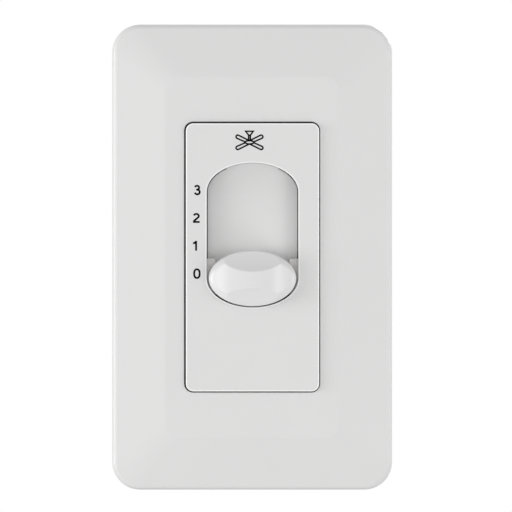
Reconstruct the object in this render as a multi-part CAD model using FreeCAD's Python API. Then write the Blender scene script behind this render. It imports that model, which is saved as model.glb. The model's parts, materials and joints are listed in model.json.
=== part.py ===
"""Slide control for the speed of a ceiling fan, with its clip-on cover plate.

Millimetres. X is to the right, Y goes into the wall and Z is up. The wall is the plane Y = 0, and the
origin is midway between the two screws that hold the control in its wall box. The front faces -Y.
The knob is drawn in position 0, the lowest.
"""
import FreeCAD, Part
import math
import os
from FreeCAD import Vector

# Cover plate
PLATE_WIDTH = 70.0
PLATE_CORNER = 7.0
PLATE_LIP_DEPTH = 4.6
PLATE_LIP_DRAFT = 0.3
PLATE_LAND = 4.775
PLATE_BEVEL_RISE = 2.8
PLATE_FLAT_CORNER = 3.5
PLATE_WALL = 1.7
PLATE_EDGE_ROUND = 1.3
PLATE_CREASE_ROUND = 3.0
PLATE_MOUTH_ROUND = 0.2
PLATE_GAP = 0.3
COLLAR_WALL = 1.2
COLLAR_TO_FLANGE = 0.4
PRONG_FROM_SIDE = 6.0
PRONG_FROM_END = 4.05
PRONG_WIDTH = 6.0
PRONG_THICK = 1.4
PRONG_HOOK = 0.6
PRONG_HOOK_HEIGHT = 0.9
PRONG_GAP = 0.2
PRONG_SEAT_GAP = 0.1

# Sub-plate that carries the cover plate
SUB_FROM_EDGE = 4.0
SUB_CORNER = 4.0
SUB_THICK = 1.4
SUB_RIM = 1.2
SUB_RIM_TO_WALL = 0.3
SUB_RIM_TO_STRAP = 0.25
SUB_TO_FLANGE = 0.55
SUB_MOUTH_CORNER = 2.0

# Mounting strap
STRAP_THICK = 1.5
STRAP_PAST_HOUSING = 2.0
STRAP_NECK_WIDTH = 23.0
STRAP_EAR_WIDTH = 38.0
STRAP_EAR_HEIGHT = 7.8
STRAP_BODY_CORNER = 3.0
STRAP_EAR_CORNER = 3.4
STRAP_SCORE = 0.8
STRAP_OPENING_MARGIN = 0.75
STRAP_OPENING_CORNER = 2.0
STRAP_HOLE_GAP = 0.2
BOX_SLOT_HEIGHT = 4.2
BOX_SLOT_LENGTH = 7.0
EARTH_TAB_DEPTH = 10.0
EARTH_TAB_WIDTH = 7.4
EARTH_TAB_BEND = 1.0

# Screws
BOX_SCREW_FROM_INSERT = 8.2
PLATE_SCREW_STEP = 6.75
PLATE_SCREW_FROM_END = 4.27
SCREW_RADIUS = 1.75
SCREW_NECK_RADIUS = 1.5
SCREW_GAP = 0.05
BOX_SCREW_REACH = 23.5
BOX_HEAD_RADIUS = 3.45
BOX_HEAD_HEIGHT = 2.0
BOX_HEAD_GAP = 0.3
PLATE_SCREW_REACH = 4.0
PLATE_HEAD_RADIUS = 2.8
COUNTERSINK_ANGLE = 82.0
DRIVER_SLOT_WIDTH = 0.9
DRIVER_SLOT_DEPTH = 0.7
KEEPER_SIZE = 9.0
KEEPER_THICK = 0.45
HOUSING_SCREW_FROM_SIDE = 4.025
HOUSING_SCREW_FROM_END = 4.05
HOUSING_SCREW_RADIUS = 1.25
HOUSING_SCREW_GRIP = 4.5
HOUSING_SCREW_SPARE = 0.9
HOUSING_HEAD_RADIUS = 2.3
HOUSING_HEAD_HEIGHT = 1.5
HOUSING_HEAD_GAP = 0.3
HOUSING_HOLE_GAP = 0.15
CROSS_REACH = 1.4
CROSS_WIDTH = 0.6

# Insert with the window
INSERT_WIDTH = 33.25
INSERT_HEIGHT = 66.9
INSERT_CORNER = 1.9
INSERT_PROUD = 1.2
INSERT_WALL = 1.5
INSERT_FRONT = 1.6
INSERT_EDGE_ROUND = 0.25
INSERT_FLANGE = 1.3
INSERT_FLANGE_THICK = 1.5
BOSS_RADIUS = 2.7
BOSS_ROOT = 0.2
WINDOW_FROM_TOP = 9.9
WINDOW_FROM_BOTTOM = 20.99
WINDOW_SIDE_GAP = 0.5
WINDOW_END_GAP = 0.29
WINDOW_SPARE = 0.68
WINDOW_EDGE_CHAMFER = 0.12
COVER_SHIFT_LEFT = 0.1
COVER_SHIFT_UP = 0.07

# Knob
KNOB_FROM_SIDE = 5.725
KNOB_HEIGHT = 13.9
KNOB_PROUD = 6.0
KNOB_SUNK = 0.8
KNOB_CROWN_RADIUS = 20.0
KNOB_END_ROUND = 2.2
KNOB_RIDGE_ABOVE = 1.75
KNOB_RIDGE_BELOW = 2.5
KNOB_SCOOP_RADIUS = 10.7
KNOB_SCOOP_ANGLE = 38.0
KNOB_RIDGE_ROUND = 0.6
KNOB_RIDGE_SHARE = 0.75
KNOB_WALL = 1.4
KNOB_CAVITY_HEIGHT = 2.4
POSITIONS = 4

# Track behind the window
TRACK_SLIT = 0.2
TRACK_DEPTH = 4.2
TRACK_WALL = 1.3
TRACK_COVE = 10.0
TRACK_TONGUE_WIDTH = 12.9
TRACK_TONGUE_DEPTH = 0.3
TRACK_TONGUE_GAP = 0.05
TRACK_TO_BOSS = 0.4
TRACK_FLANGE_HEIGHT = 6.4
TRACK_FLANGE_STEP = 1.2
TRACK_RIB = 1.2
TRACK_RIB_SPARE = 3.0
STAKE_RADIUS = 0.9
STAKE_HEAD_RADIUS = 1.5
STAKE_HEAD_HEIGHT = 0.6
STAKE_FROM_SIDE = 3.0

# Saddle under the knob
SADDLE_TOP_GAP = 0.15
SADDLE_THICK = 0.85
SADDLE_BAR_HEIGHT = 6.4
SHOULDER_WIDTH = 3.75
SHOULDER_HEIGHT = 9.8
SHOULDER_CORNER = 0.3
LEG_THICK = 1.5
LEG_TO_TRACK = 0.3
LEG_HEIGHT = 5.0
LEG_SUNK = 2.2
POST_WIDTH = 4.0
POST_HEIGHT = 3.0
POST_PROUD = 1.8
SOCKET_WALL = 1.3
FIT_GAP = 0.05

# Switch
CARRIER_PAST_SADDLE = 0.9
CARRIER_HEIGHT = 9.0
CARRIER_FRONT = -0.2
CARRIER_THICK = 3.2
CARRIER_POCKET_MARGIN = 5.0
SLIDE_GAP = 0.15
CONTACT_GAP = 0.1
STOP_GAP = 0.3
LEAF_THICK = 0.3
CONTACT_RISE = 0.6
BASE_SIDE_GAP = 0.5
BASE_FLOOR = 2.6
BASE_END_WALL = 1.6
CONTACT_PROUD = 0.4
RACK_X = 9.0
RACK_WIDTH = 3.4
RACK_NOTCH_RADIUS = 1.3
RAIL_X = -6.0
RAIL_WIDTH = 2.6
FIXED_X = 0.0
FIXED_WIDTH = 4.4
FIXED_SPACE = 2.35
CONTACT_TAIL = 0.8
WIPER_ARM_WIDTH = 2.2
WIPER_TIP_RADIUS = 1.5
WIPER_TIP_END = 0.5
SPRING_HEIGHT = 7.6
SPRING_BUMP_RADIUS = 1.1

# Board and what it carries
BOARD_FROM_SCREW = 3.4
BOARD_THICK = 1.6
BOARD_GAP = 0.3
LEAD_RADIUS = 0.35
LEAD_HOLE_RADIUS = 0.5
CAPACITOR_SIDE_GAP = 3.2
CAPACITOR_BACK_GAP = 1.8
CAPACITOR_POCKET_GAP = 0.2
CAPACITOR_LARGE_SHARE = 0.577
CAPACITOR_GAP = 0.8
CAPACITOR_ROUND = 0.8
CAPACITOR_LEAD_INSET = 1.75
RESISTOR_RADIUS = 1.2
RESISTOR_WAIST = 1.02
RESISTOR_CAP = 1.36
RESISTOR_LENGTH = 6.8
RESISTOR_LEAD_SPACING = 10.2
RESISTOR_FROM_END = 7.0
RESISTOR_PITCH = 3.6

# Rear housing
HOUSING_WIDTH = 43.0
HOUSING_FROM_SCREW = 3.6
HOUSING_DEPTH = 27.5
HOUSING_WALL = 1.6
HOUSING_CORNER = 3.0
HOUSING_BACK_ROUND = 1.2
HOUSING_LEDGE = 1.2
HOUSING_BOSS_RADIUS = 2.9
TERMINAL_FROM_END = 6.0
TERMINAL_POCKET_HEIGHT = 9.6
TERMINAL_POCKET_LENGTH = 10.0
TERMINAL_POCKET_DEPTH = 4.2
TERMINAL_POCKET_FRONT = 10.6
TERMINAL_PLATE = 8.0
TERMINAL_PLATE_THICK = 0.9
TERMINAL_CLAMP = 7.6
TERMINAL_CLAMP_THICK = 1.0
TERMINAL_TAIL = 4.0
TERMINAL_SCREW_RADIUS = 1.9
TERMINAL_HEAD_RADIUS = 3.4
TERMINAL_HEAD_HEIGHT = 2.0
TERMINAL_HEAD_CHAMFER = 0.4
TERMINAL_SCREW_REACH = 6.0

# Shared
CORNER = 1.0
CONTACT_CORNER = 0.6
OVERRUN = 1.0
TOUCH = 1e-4
NEAR = 0.01

# Heights through the thickness, from the wall forwards
strap_front = -STRAP_THICK
sub_front = strap_front - SUB_THICK
plate_lip_y = -PLATE_LIP_DEPTH
plate_face_y = plate_lip_y - PLATE_BEVEL_RISE
face_y = plate_face_y - INSERT_PROUD
insert_back_y = face_y + INSERT_FRONT
flange_front = strap_front - INSERT_FLANGE_THICK

# Heights up the wall, from the insert outwards
box_spacing = INSERT_HEIGHT + 2 * BOX_SCREW_FROM_INSERT
plate_spacing = box_spacing + 2 * PLATE_SCREW_STEP
strap_length = plate_spacing + 2 * PLATE_SCREW_FROM_END
sub_height = strap_length + 2 * (SUB_RIM + SUB_RIM_TO_STRAP)
plate_height = sub_height + 2 * SUB_FROM_EDGE
ear_z = (strap_length - STRAP_EAR_HEIGHT) / 2
prong_z = sub_height / 2 - PRONG_FROM_END

# Heights up the wall, from the insert inwards
housing_screw_z = INSERT_HEIGHT / 2 - HOUSING_SCREW_FROM_END
housing_height = 2 * (housing_screw_z + HOUSING_FROM_SCREW)
strap_body_height = housing_height + 2 * STRAP_PAST_HOUSING
board_height = 2 * (housing_screw_z - BOARD_FROM_SCREW)
terminal_z = board_height / 2 - TERMINAL_FROM_END

# Widths
sub_width = PLATE_WIDTH - 2 * SUB_FROM_EDGE
prong_x = sub_width / 2 - PRONG_FROM_SIDE
mouth_width = INSERT_WIDTH + 2 * PLATE_GAP
mouth_height = INSERT_HEIGHT + 2 * PLATE_GAP
bevel_width = (PLATE_WIDTH - mouth_width) / 2 - PLATE_LIP_DRAFT - PLATE_LAND
knob_width = INSERT_WIDTH - 2 * KNOB_FROM_SIDE
window_half_width = knob_width / 2 + WINDOW_SIDE_GAP
track_half_width = window_half_width - TRACK_SLIT
saddle_width = 2 * (track_half_width + LEG_TO_TRACK + LEG_THICK)
carrier_width = saddle_width + 2 * CARRIER_PAST_SADDLE
channel_half_width = carrier_width / 2 + SLIDE_GAP
housing_screw_x = INSERT_WIDTH / 2 - HOUSING_SCREW_FROM_SIDE
track_flange_width = 2 * (housing_screw_x - BOSS_RADIUS - TRACK_TO_BOSS)
stake_x = track_flange_width / 2 - STAKE_FROM_SIDE
housing_inner_width = HOUSING_WIDTH - 2 * HOUSING_WALL
housing_rear_width = housing_inner_width - 2 * HOUSING_LEDGE
board_width = housing_inner_width - 2 * BOARD_GAP
base_width = housing_inner_width - 2 * BASE_SIDE_GAP
capacitor_width = housing_rear_width - 2 * CAPACITOR_SIDE_GAP
capacitor_lead_x = capacitor_width / 2 - CAPACITOR_LEAD_INSET
pocket_floor_x = HOUSING_WIDTH / 2 - TERMINAL_POCKET_DEPTH

# Window and the travel of the knob in it
window_end_height = KNOB_HEIGHT / 2 + WINDOW_END_GAP
window_top = INSERT_HEIGHT / 2 - WINDOW_FROM_TOP
window_bottom = WINDOW_FROM_BOTTOM - INSERT_HEIGHT / 2
window_high_z = window_top - window_end_height
knob_rest_z = window_bottom + window_end_height
travel = window_high_z - WINDOW_SPARE - knob_rest_z
pitch = travel / (POSITIONS - 1)
fixed_height = pitch - FIXED_SPACE

# Carrier and the channel that it slides in
carrier_back = CARRIER_FRONT + CARRIER_THICK
contact_front = carrier_back + LEAF_THICK + CONTACT_RISE + CONTACT_GAP
base_front = contact_front + CONTACT_PROUD
base_back = base_front + BASE_FLOOR
channel_low = knob_rest_z - CARRIER_HEIGHT / 2 - STOP_GAP
channel_high = knob_rest_z + travel + CARRIER_HEIGHT / 2 + STOP_GAP
board_back = base_back + BOARD_THICK
capacitor_depth = HOUSING_DEPTH - HOUSING_WALL - CAPACITOR_BACK_GAP - board_back
terminal_screw_y = TERMINAL_POCKET_FRONT + TERMINAL_POCKET_LENGTH / 2


def polar(x, z, radius, degrees, y):
    """Point on a circle in a plane parallel to the wall."""
    turn = math.radians(degrees)
    return Vector(x + radius * math.cos(turn), y, z + radius * math.sin(turn))


def rounded_outline(width, height, radius, y, x=0.0, z=0.0):
    """Closed outline of a rounded rectangle, parallel to the wall."""
    across = width / 2 - radius
    up = height / 2 - radius
    corners = ((across, up), (-across, up), (-across, -up), (across, -up))
    arcs = []
    for number, (dx, dz) in enumerate(corners):
        start = 90 * number
        points = [polar(x + dx, z + dz, radius, start + turn, y) for turn in (0, 45, 90)]
        arcs.append(points)
    edges = []
    for number, points in enumerate(arcs):
        following = arcs[(number + 1) % len(arcs)]
        edges.append(Part.Arc(*points).toShape())
        if points[2].distanceToPoint(following[0]) > TOUCH:
            edges.append(Part.LineSegment(points[2], following[0]).toShape())
    return Part.Wire(edges)


def slab(width, height, radius, y0, y1, x=0.0, z=0.0):
    """Rounded rectangle between two depths."""
    face = Part.Face(rounded_outline(width, height, radius, y0, x, z))
    return face.extrude(Vector(0, y1 - y0, 0))


def block(x0, x1, y0, y1, z0, z1):
    """Box between two corners."""
    return Part.makeBox(x1 - x0, y1 - y0, z1 - z0, Vector(x0, y0, z0))


def rod(radius, x, z, y0, y1):
    """Round bar along Y."""
    return Part.makeCylinder(radius, y1 - y0, Vector(x, y0, z), Vector(0, 1, 0))


def cone(radius0, radius1, x, z, y0, y1):
    """Tapered round bar along Y."""
    return Part.makeCone(radius0, radius1, y1 - y0, Vector(x, y0, z), Vector(0, 1, 0))


def join(shapes):
    """One solid out of shapes that overlap or touch."""
    return shapes[0].multiFuse(shapes[1:]).removeSplitter()


def loft(outlines):
    """Solid with straight walls between outlines."""
    return Part.makeLoft(outlines, True, True)


def chosen_edges(shape, wanted):
    """Edges whose ends and middle all satisfy the rule."""
    chosen = []
    for edge in shape.Edges:
        first, last = edge.ParameterRange
        points = [edge.valueAt(first + (last - first) * part) for part in (0, 0.5, 1)]
        if all(wanted(point) for point in points):
            chosen.append(edge)
    return chosen


def round_edges(shape, radius, wanted):
    return shape.makeFillet(radius, chosen_edges(shape, wanted))


def chamfer_edges(shape, size, wanted):
    return shape.makeChamfer(size, chosen_edges(shape, wanted))


def at_depth(y):
    """Rule for edges that lie at one depth."""
    return lambda point: abs(point.y - y) < TOUCH


def window_outline(y, half_width, end_height):
    """Outline of the window: straight sides and half-ellipse ends."""
    edges = []
    for centre_z, side in ((window_high_z, 1), (knob_rest_z, -1)):
        centre = Vector(0, y, centre_z)
        ellipse = Part.Ellipse(
            centre + Vector(side * half_width, 0, 0),
            centre + Vector(0, 0, side * end_height),
            centre,
        )
        edges.append(Part.ArcOfEllipse(ellipse, 0, math.pi).toShape())
    edges.insert(1, Part.LineSegment(
        Vector(-half_width, y, window_high_z), Vector(-half_width, y, knob_rest_z)).toShape())
    edges.append(Part.LineSegment(
        Vector(half_width, y, knob_rest_z), Vector(half_width, y, window_high_z)).toShape())
    return Part.Wire(edges)


def window_prism(inset, y0, y1):
    """The window's form between two depths, drawn in by an inset."""
    outline = window_outline(y0, window_half_width - inset, window_end_height - inset)
    return Part.Face(outline).extrude(Vector(0, y1 - y0, 0))


# Cover plate

def plate_outer():
    """Lip, bevel and flat of the cover plate, as a solid tray."""
    lip_width = PLATE_WIDTH - 2 * PLATE_LIP_DRAFT
    lip_height = plate_height - 2 * PLATE_LIP_DRAFT
    outlines = [
        rounded_outline(PLATE_WIDTH, plate_height, PLATE_CORNER, 0),
        rounded_outline(lip_width, lip_height, PLATE_CORNER - PLATE_LIP_DRAFT, plate_lip_y),
        rounded_outline(
            lip_width - 2 * bevel_width,
            lip_height - 2 * bevel_width,
            PLATE_FLAT_CORNER,
            plate_face_y,
        ),
    ]
    tray = loft(outlines)
    tray = round_edges(tray, PLATE_EDGE_ROUND, at_depth(plate_lip_y))
    return round_edges(tray, PLATE_CREASE_ROUND, at_depth(plate_face_y))


def plate_cavity():
    """Hollow behind the cover plate, one wall thickness inside it."""
    slope = math.atan2(PLATE_BEVEL_RISE, bevel_width)
    flare = PLATE_LIP_DRAFT / PLATE_LIP_DEPTH
    lip_y = plate_lip_y - PLATE_WALL * math.tan(slope) + PLATE_WALL / math.cos(slope)
    crease = PLATE_WALL * math.tan(slope / 2)
    outlines = []
    for y in (OVERRUN, lip_y):
        inside = PLATE_WALL - flare * y
        outlines.append(rounded_outline(
            PLATE_WIDTH - 2 * inside, plate_height - 2 * inside, PLATE_CORNER - inside, y))
    inside = PLATE_LIP_DRAFT + bevel_width + crease
    outlines.append(rounded_outline(
        PLATE_WIDTH - 2 * inside, plate_height - 2 * inside,
        PLATE_FLAT_CORNER - crease, plate_face_y + PLATE_WALL))
    return loft(outlines)


def prong(side, end):
    """Springy prong of the cover plate, with its hook behind the sub-plate."""
    x = side * prong_x
    z = end * prong_z
    hook_front = strap_front + PRONG_SEAT_GAP
    hook_back = hook_front + PRONG_HOOK_HEIGHT
    stem = block(x - PRONG_WIDTH / 2, x + PRONG_WIDTH / 2, plate_face_y, hook_back,
                 z - PRONG_THICK / 2, z + PRONG_THICK / 2)
    outside = z + end * PRONG_THICK / 2
    points = [
        Vector(x - PRONG_WIDTH / 2, hook_front, outside),
        Vector(x - PRONG_WIDTH / 2, hook_front, outside + end * PRONG_HOOK),
        Vector(x - PRONG_WIDTH / 2, hook_back, outside),
    ]
    hook = Part.Face(Part.makePolygon(points + points[:1])).extrude(Vector(PRONG_WIDTH, 0, 0))
    return join([stem, hook])


def wall_plate():
    """Cover plate. It sits a little up and to the left within its gap round the insert."""
    outer = plate_outer()
    shell = outer.cut(plate_cavity())
    mouth_corner = INSERT_CORNER + PLATE_GAP
    collar = slab(
        mouth_width + 2 * COLLAR_WALL,
        mouth_height + 2 * COLLAR_WALL,
        mouth_corner + COLLAR_WALL,
        plate_face_y + PLATE_WALL / 2,
        flange_front - COLLAR_TO_FLANGE,
    )
    prongs = [prong(side, end).common(outer) for side in (-1, 1) for end in (-1, 1)]
    body = join([shell, collar] + prongs)
    body = body.cut(slab(mouth_width, mouth_height, mouth_corner, plate_face_y - OVERRUN, 0))

    def at_mouth(point):
        inside = abs(point.x) < mouth_width / 2 + NEAR and abs(point.z) < mouth_height / 2 + NEAR
        return inside and abs(point.y - plate_face_y) < TOUCH

    body = round_edges(body, PLATE_MOUTH_ROUND, at_mouth)
    body.translate(Vector(-COVER_SHIFT_LEFT, 0, COVER_SHIFT_UP))
    return body


def sub_plate():
    """Frame between the strap and the cover plate, with a rim that stands on the wall side."""
    opening_width = INSERT_WIDTH + 2 * (INSERT_FLANGE + SUB_TO_FLANGE)
    opening_height = INSERT_HEIGHT + 2 * (INSERT_FLANGE + SUB_TO_FLANGE)
    sheet = slab(sub_width, sub_height, SUB_CORNER, sub_front, strap_front)
    rim = slab(sub_width, sub_height, SUB_CORNER, sub_front, -SUB_RIM_TO_WALL)
    rim = rim.cut(slab(
        sub_width - 2 * SUB_RIM, sub_height - 2 * SUB_RIM, SUB_CORNER - SUB_RIM,
        sub_front - OVERRUN, 0))
    body = join([sheet, rim])
    cuts = [slab(opening_width, opening_height, SUB_MOUTH_CORNER, sub_front - OVERRUN, 0)]
    head_gap = BOX_HEAD_RADIUS + BOX_HEAD_GAP
    for end in (-1, 1):
        cuts.append(slab(
            2 * head_gap + BOX_SLOT_LENGTH - BOX_SLOT_HEIGHT, 2 * head_gap, head_gap,
            sub_front - OVERRUN, 0, z=end * box_spacing / 2))
        screw_z = end * plate_spacing / 2
        cuts.append(rod(SCREW_RADIUS + SCREW_GAP, 0, screw_z, sub_front - OVERRUN, 0))
        cuts.append(cone(
            PLATE_HEAD_RADIUS, SCREW_RADIUS, 0, screw_z, sub_front, sub_front + countersink_depth()))
        for side in (-1, 1):
            cuts.append(block(
                side * prong_x - PRONG_WIDTH / 2 - PRONG_GAP,
                side * prong_x + PRONG_WIDTH / 2 + PRONG_GAP,
                sub_front - OVERRUN,
                0,
                end * prong_z - PRONG_THICK / 2 - PRONG_GAP,
                end * prong_z + PRONG_THICK / 2 + PRONG_GAP,
            ))
    for cut in cuts:
        body = body.cut(cut)
    return body


def countersink_depth():
    """Depth of the cone under a plate screw's head."""
    half_angle = math.radians(COUNTERSINK_ANGLE / 2)
    return (PLATE_HEAD_RADIUS - SCREW_RADIUS) / math.tan(half_angle)


def driver_slot(x, z, y, radius):
    """Cut for a flat screwdriver across a head that faces -Y."""
    return block(
        x - radius, x + radius, y - OVERRUN, y + DRIVER_SLOT_DEPTH,
        z - DRIVER_SLOT_WIDTH / 2, z + DRIVER_SLOT_WIDTH / 2)


def plate_screw(end):
    """Flat-head screw flush with the sub-plate, tapped into the strap."""
    z = end * plate_spacing / 2
    neck = sub_front + countersink_depth()
    head = cone(PLATE_HEAD_RADIUS, SCREW_RADIUS, 0, z, sub_front, neck)
    shank = rod(SCREW_RADIUS, 0, z, neck, PLATE_SCREW_REACH)
    return join([head, shank]).cut(driver_slot(0, z, sub_front, PLATE_HEAD_RADIUS))


def box_screw(end):
    """Long screw with a low domed head, for the wall box."""
    z = end * box_spacing / 2
    head_front = strap_front - BOX_HEAD_HEIGHT
    head = round_edges(
        rod(BOX_HEAD_RADIUS, 0, z, head_front, strap_front),
        BOX_HEAD_HEIGHT / 2,
        at_depth(head_front),
    )
    neck = rod(SCREW_NECK_RADIUS, 0, z, strap_front, KEEPER_THICK)
    point = SCREW_RADIUS - SCREW_NECK_RADIUS
    thread = rod(SCREW_RADIUS, 0, z, KEEPER_THICK, BOX_SCREW_REACH - point)
    tip = cone(SCREW_RADIUS, SCREW_NECK_RADIUS, 0, z, BOX_SCREW_REACH - point, BOX_SCREW_REACH)
    return join([head, neck, thread, tip]).cut(driver_slot(0, z, head_front, BOX_HEAD_RADIUS))


def screw_keeper(end):
    """Thin square washer that keeps a box screw in the strap."""
    z = end * box_spacing / 2
    washer = slab(KEEPER_SIZE, KEEPER_SIZE, CORNER, 0, KEEPER_THICK, z=z)
    hole = rod(SCREW_NECK_RADIUS + SCREW_GAP, 0, z, -OVERRUN, KEEPER_THICK + OVERRUN)
    return washer.cut(hole)


# Mounting strap

def mounting_strap():
    """Flat steel strap with plaster ears and a bent earth tab."""
    sheets = [
        slab(HOUSING_WIDTH, strap_body_height, STRAP_BODY_CORNER, strap_front, 0),
        block(-STRAP_NECK_WIDTH / 2, STRAP_NECK_WIDTH / 2, strap_front, 0, -ear_z, ear_z),
    ]
    for end in (-1, 1):
        sheets.append(slab(
            STRAP_EAR_WIDTH, STRAP_EAR_HEIGHT, STRAP_EAR_CORNER, strap_front, 0, z=end * ear_z))
    body = join(sheets + [earth_tab()])
    opening_low = channel_low - STOP_GAP * 2
    opening_high = channel_high + STOP_GAP * 2
    opening_width = 2 * (channel_half_width + STRAP_OPENING_MARGIN)
    cuts = [slab(
        opening_width, opening_high - opening_low, STRAP_OPENING_CORNER,
        strap_front - OVERRUN, OVERRUN, z=(opening_high + opening_low) / 2)]
    for end in (-1, 1):
        cuts.append(slab(
            BOX_SLOT_LENGTH, BOX_SLOT_HEIGHT, BOX_SLOT_HEIGHT / 2,
            strap_front - OVERRUN, OVERRUN, z=end * box_spacing / 2))
        cuts.append(rod(
            SCREW_RADIUS + SCREW_GAP, 0, end * plate_spacing / 2, strap_front - OVERRUN, OVERRUN))
        for side in (-1, 1):
            cuts.append(rod(
                HOUSING_SCREW_RADIUS + STRAP_HOLE_GAP,
                side * housing_screw_x, end * housing_screw_z, strap_front - OVERRUN, OVERRUN))
            for edge in (-1, 1):
                cuts.append(rod(
                    STRAP_SCORE, side * STRAP_NECK_WIDTH / 2,
                    end * ear_z + edge * STRAP_EAR_HEIGHT / 2, strap_front - OVERRUN, OVERRUN))
    cuts.append(Part.makeCylinder(
        TERMINAL_SCREW_RADIUS + SCREW_GAP, 4 * STRAP_THICK,
        Vector(-STRAP_NECK_WIDTH / 2 - STRAP_THICK, earth_screw_y(), earth_screw_z()),
        Vector(1, 0, 0)))
    for cut in cuts:
        body = body.cut(cut)
    return body


def earth_tab_low():
    """Lowest edge of the earth tab, which stays clear of the ear."""
    return -ear_z + STRAP_EAR_HEIGHT / 2 + STRAP_SCORE


def earth_screw_z():
    return earth_tab_low() + EARTH_TAB_WIDTH / 2


def earth_screw_y():
    return EARTH_TAB_DEPTH - EARTH_TAB_WIDTH / 2


def earth_tab():
    """Tab bent back from the edge of the strap's lower neck."""
    x = -STRAP_NECK_WIDTH / 2
    low = earth_tab_low()
    tab = block(x, x + STRAP_THICK, strap_front, EARTH_TAB_DEPTH, low, low + EARTH_TAB_WIDTH)

    def at_bend(point):
        return abs(point.x - x) < TOUCH and abs(point.y - strap_front) < TOUCH

    def at_end(point):
        corner = abs(point.z - low) < TOUCH or abs(point.z - low - EARTH_TAB_WIDTH) < TOUCH
        return corner and abs(point.y - EARTH_TAB_DEPTH) < TOUCH

    return round_edges(round_edges(tab, EARTH_TAB_BEND, at_bend), EARTH_TAB_BEND, at_end)


def side_screw(x, y, z, side):
    """Terminal screw along X. Its head stands outwards from x, on the given side."""
    out = Vector(side, 0, 0)
    seat = Vector(x, y, z)
    rim_x = x + side * TERMINAL_HEAD_HEIGHT
    head = chamfer_edges(
        Part.makeCylinder(TERMINAL_HEAD_RADIUS, TERMINAL_HEAD_HEIGHT, seat, out),
        TERMINAL_HEAD_CHAMFER,
        lambda point: abs(point.x - rim_x) < TOUCH,
    )
    shank = Part.makeCylinder(TERMINAL_SCREW_RADIUS, TERMINAL_SCREW_REACH, seat, out * -1)
    half = DRIVER_SLOT_WIDTH / 2
    cut = block(
        min(rim_x, rim_x - side * DRIVER_SLOT_DEPTH), max(rim_x, rim_x - side * DRIVER_SLOT_DEPTH),
        y - TERMINAL_HEAD_RADIUS, y + TERMINAL_HEAD_RADIUS, z - half, z + half)
    return join([head, shank]).cut(cut)


def ground_screw():
    return side_screw(-STRAP_NECK_WIDTH / 2, earth_screw_y(), earth_screw_z(), -1)


# Insert, track, saddle and knob

def stake_places():
    """Centres of the four stakes that hold the track, as X and Z."""
    top = track_flange_z(1)
    bottom = track_flange_z(-1)
    return [(side * stake_x, z) for side in (-1, 1) for z in (bottom, top)]


def track_flange_z(end):
    """Middle of a flange of the track, above or below the window."""
    edge = window_top if end > 0 else window_bottom
    return edge + end * (TRACK_FLANGE_STEP + TRACK_FLANGE_HEIGHT / 2)


def bezel():
    """Raised insert with the window, its flange, screw bosses and stakes."""
    body = slab(INSERT_WIDTH, INSERT_HEIGHT, INSERT_CORNER, face_y, strap_front)
    body = round_edges(body, INSERT_EDGE_ROUND, at_depth(face_y))
    flange = slab(
        INSERT_WIDTH + 2 * INSERT_FLANGE, INSERT_HEIGHT + 2 * INSERT_FLANGE,
        INSERT_CORNER + INSERT_FLANGE, flange_front, strap_front)
    body = join([body, flange])
    body = body.cut(slab(
        INSERT_WIDTH - 2 * INSERT_WALL, INSERT_HEIGHT - 2 * INSERT_WALL,
        INSERT_CORNER - INSERT_WALL, insert_back_y, 0))
    root_y = insert_back_y - BOSS_ROOT
    inner = slab(INSERT_WIDTH, INSERT_HEIGHT, INSERT_CORNER, root_y, strap_front)
    bosses = []
    for side in (-1, 1):
        for end in (-1, 1):
            x = side * housing_screw_x
            z = end * housing_screw_z
            bosses.append(rod(BOSS_RADIUS, x, z, root_y, strap_front).common(inner))
    for x, z in stake_places():
        stake_back = insert_back_y + TRACK_WALL
        bosses.append(rod(STAKE_RADIUS, x, z, root_y, stake_back))
        bosses.append(rod(STAKE_HEAD_RADIUS, x, z, stake_back, stake_back + STAKE_HEAD_HEIGHT))
    body = join([body] + bosses)
    for side in (-1, 1):
        for end in (-1, 1):
            body = body.cut(rod(
                HOUSING_SCREW_RADIUS + SCREW_GAP, side * housing_screw_x, end * housing_screw_z,
                strap_front - HOUSING_SCREW_GRIP - HOUSING_SCREW_SPARE, 0))
    body = body.cut(window_prism(0, face_y - OVERRUN, insert_back_y + OVERRUN))

    def at_window(point):
        inside = abs(point.x) < window_half_width + NEAR and point.z < window_top + NEAR
        return inside and point.z > window_bottom - NEAR and abs(point.y - face_y) < TOUCH

    return chamfer_edges(body, WINDOW_EDGE_CHAMFER, at_window)


def arc_points(z, y, radius, degrees):
    """Points on a circle in the YZ plane. Zero degrees is straight back, and 90 is up."""
    turns = [math.radians(turn) for turn in degrees]
    return [Vector(0, y + radius * math.cos(t), z + radius * math.sin(t)) for t in turns]


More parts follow.
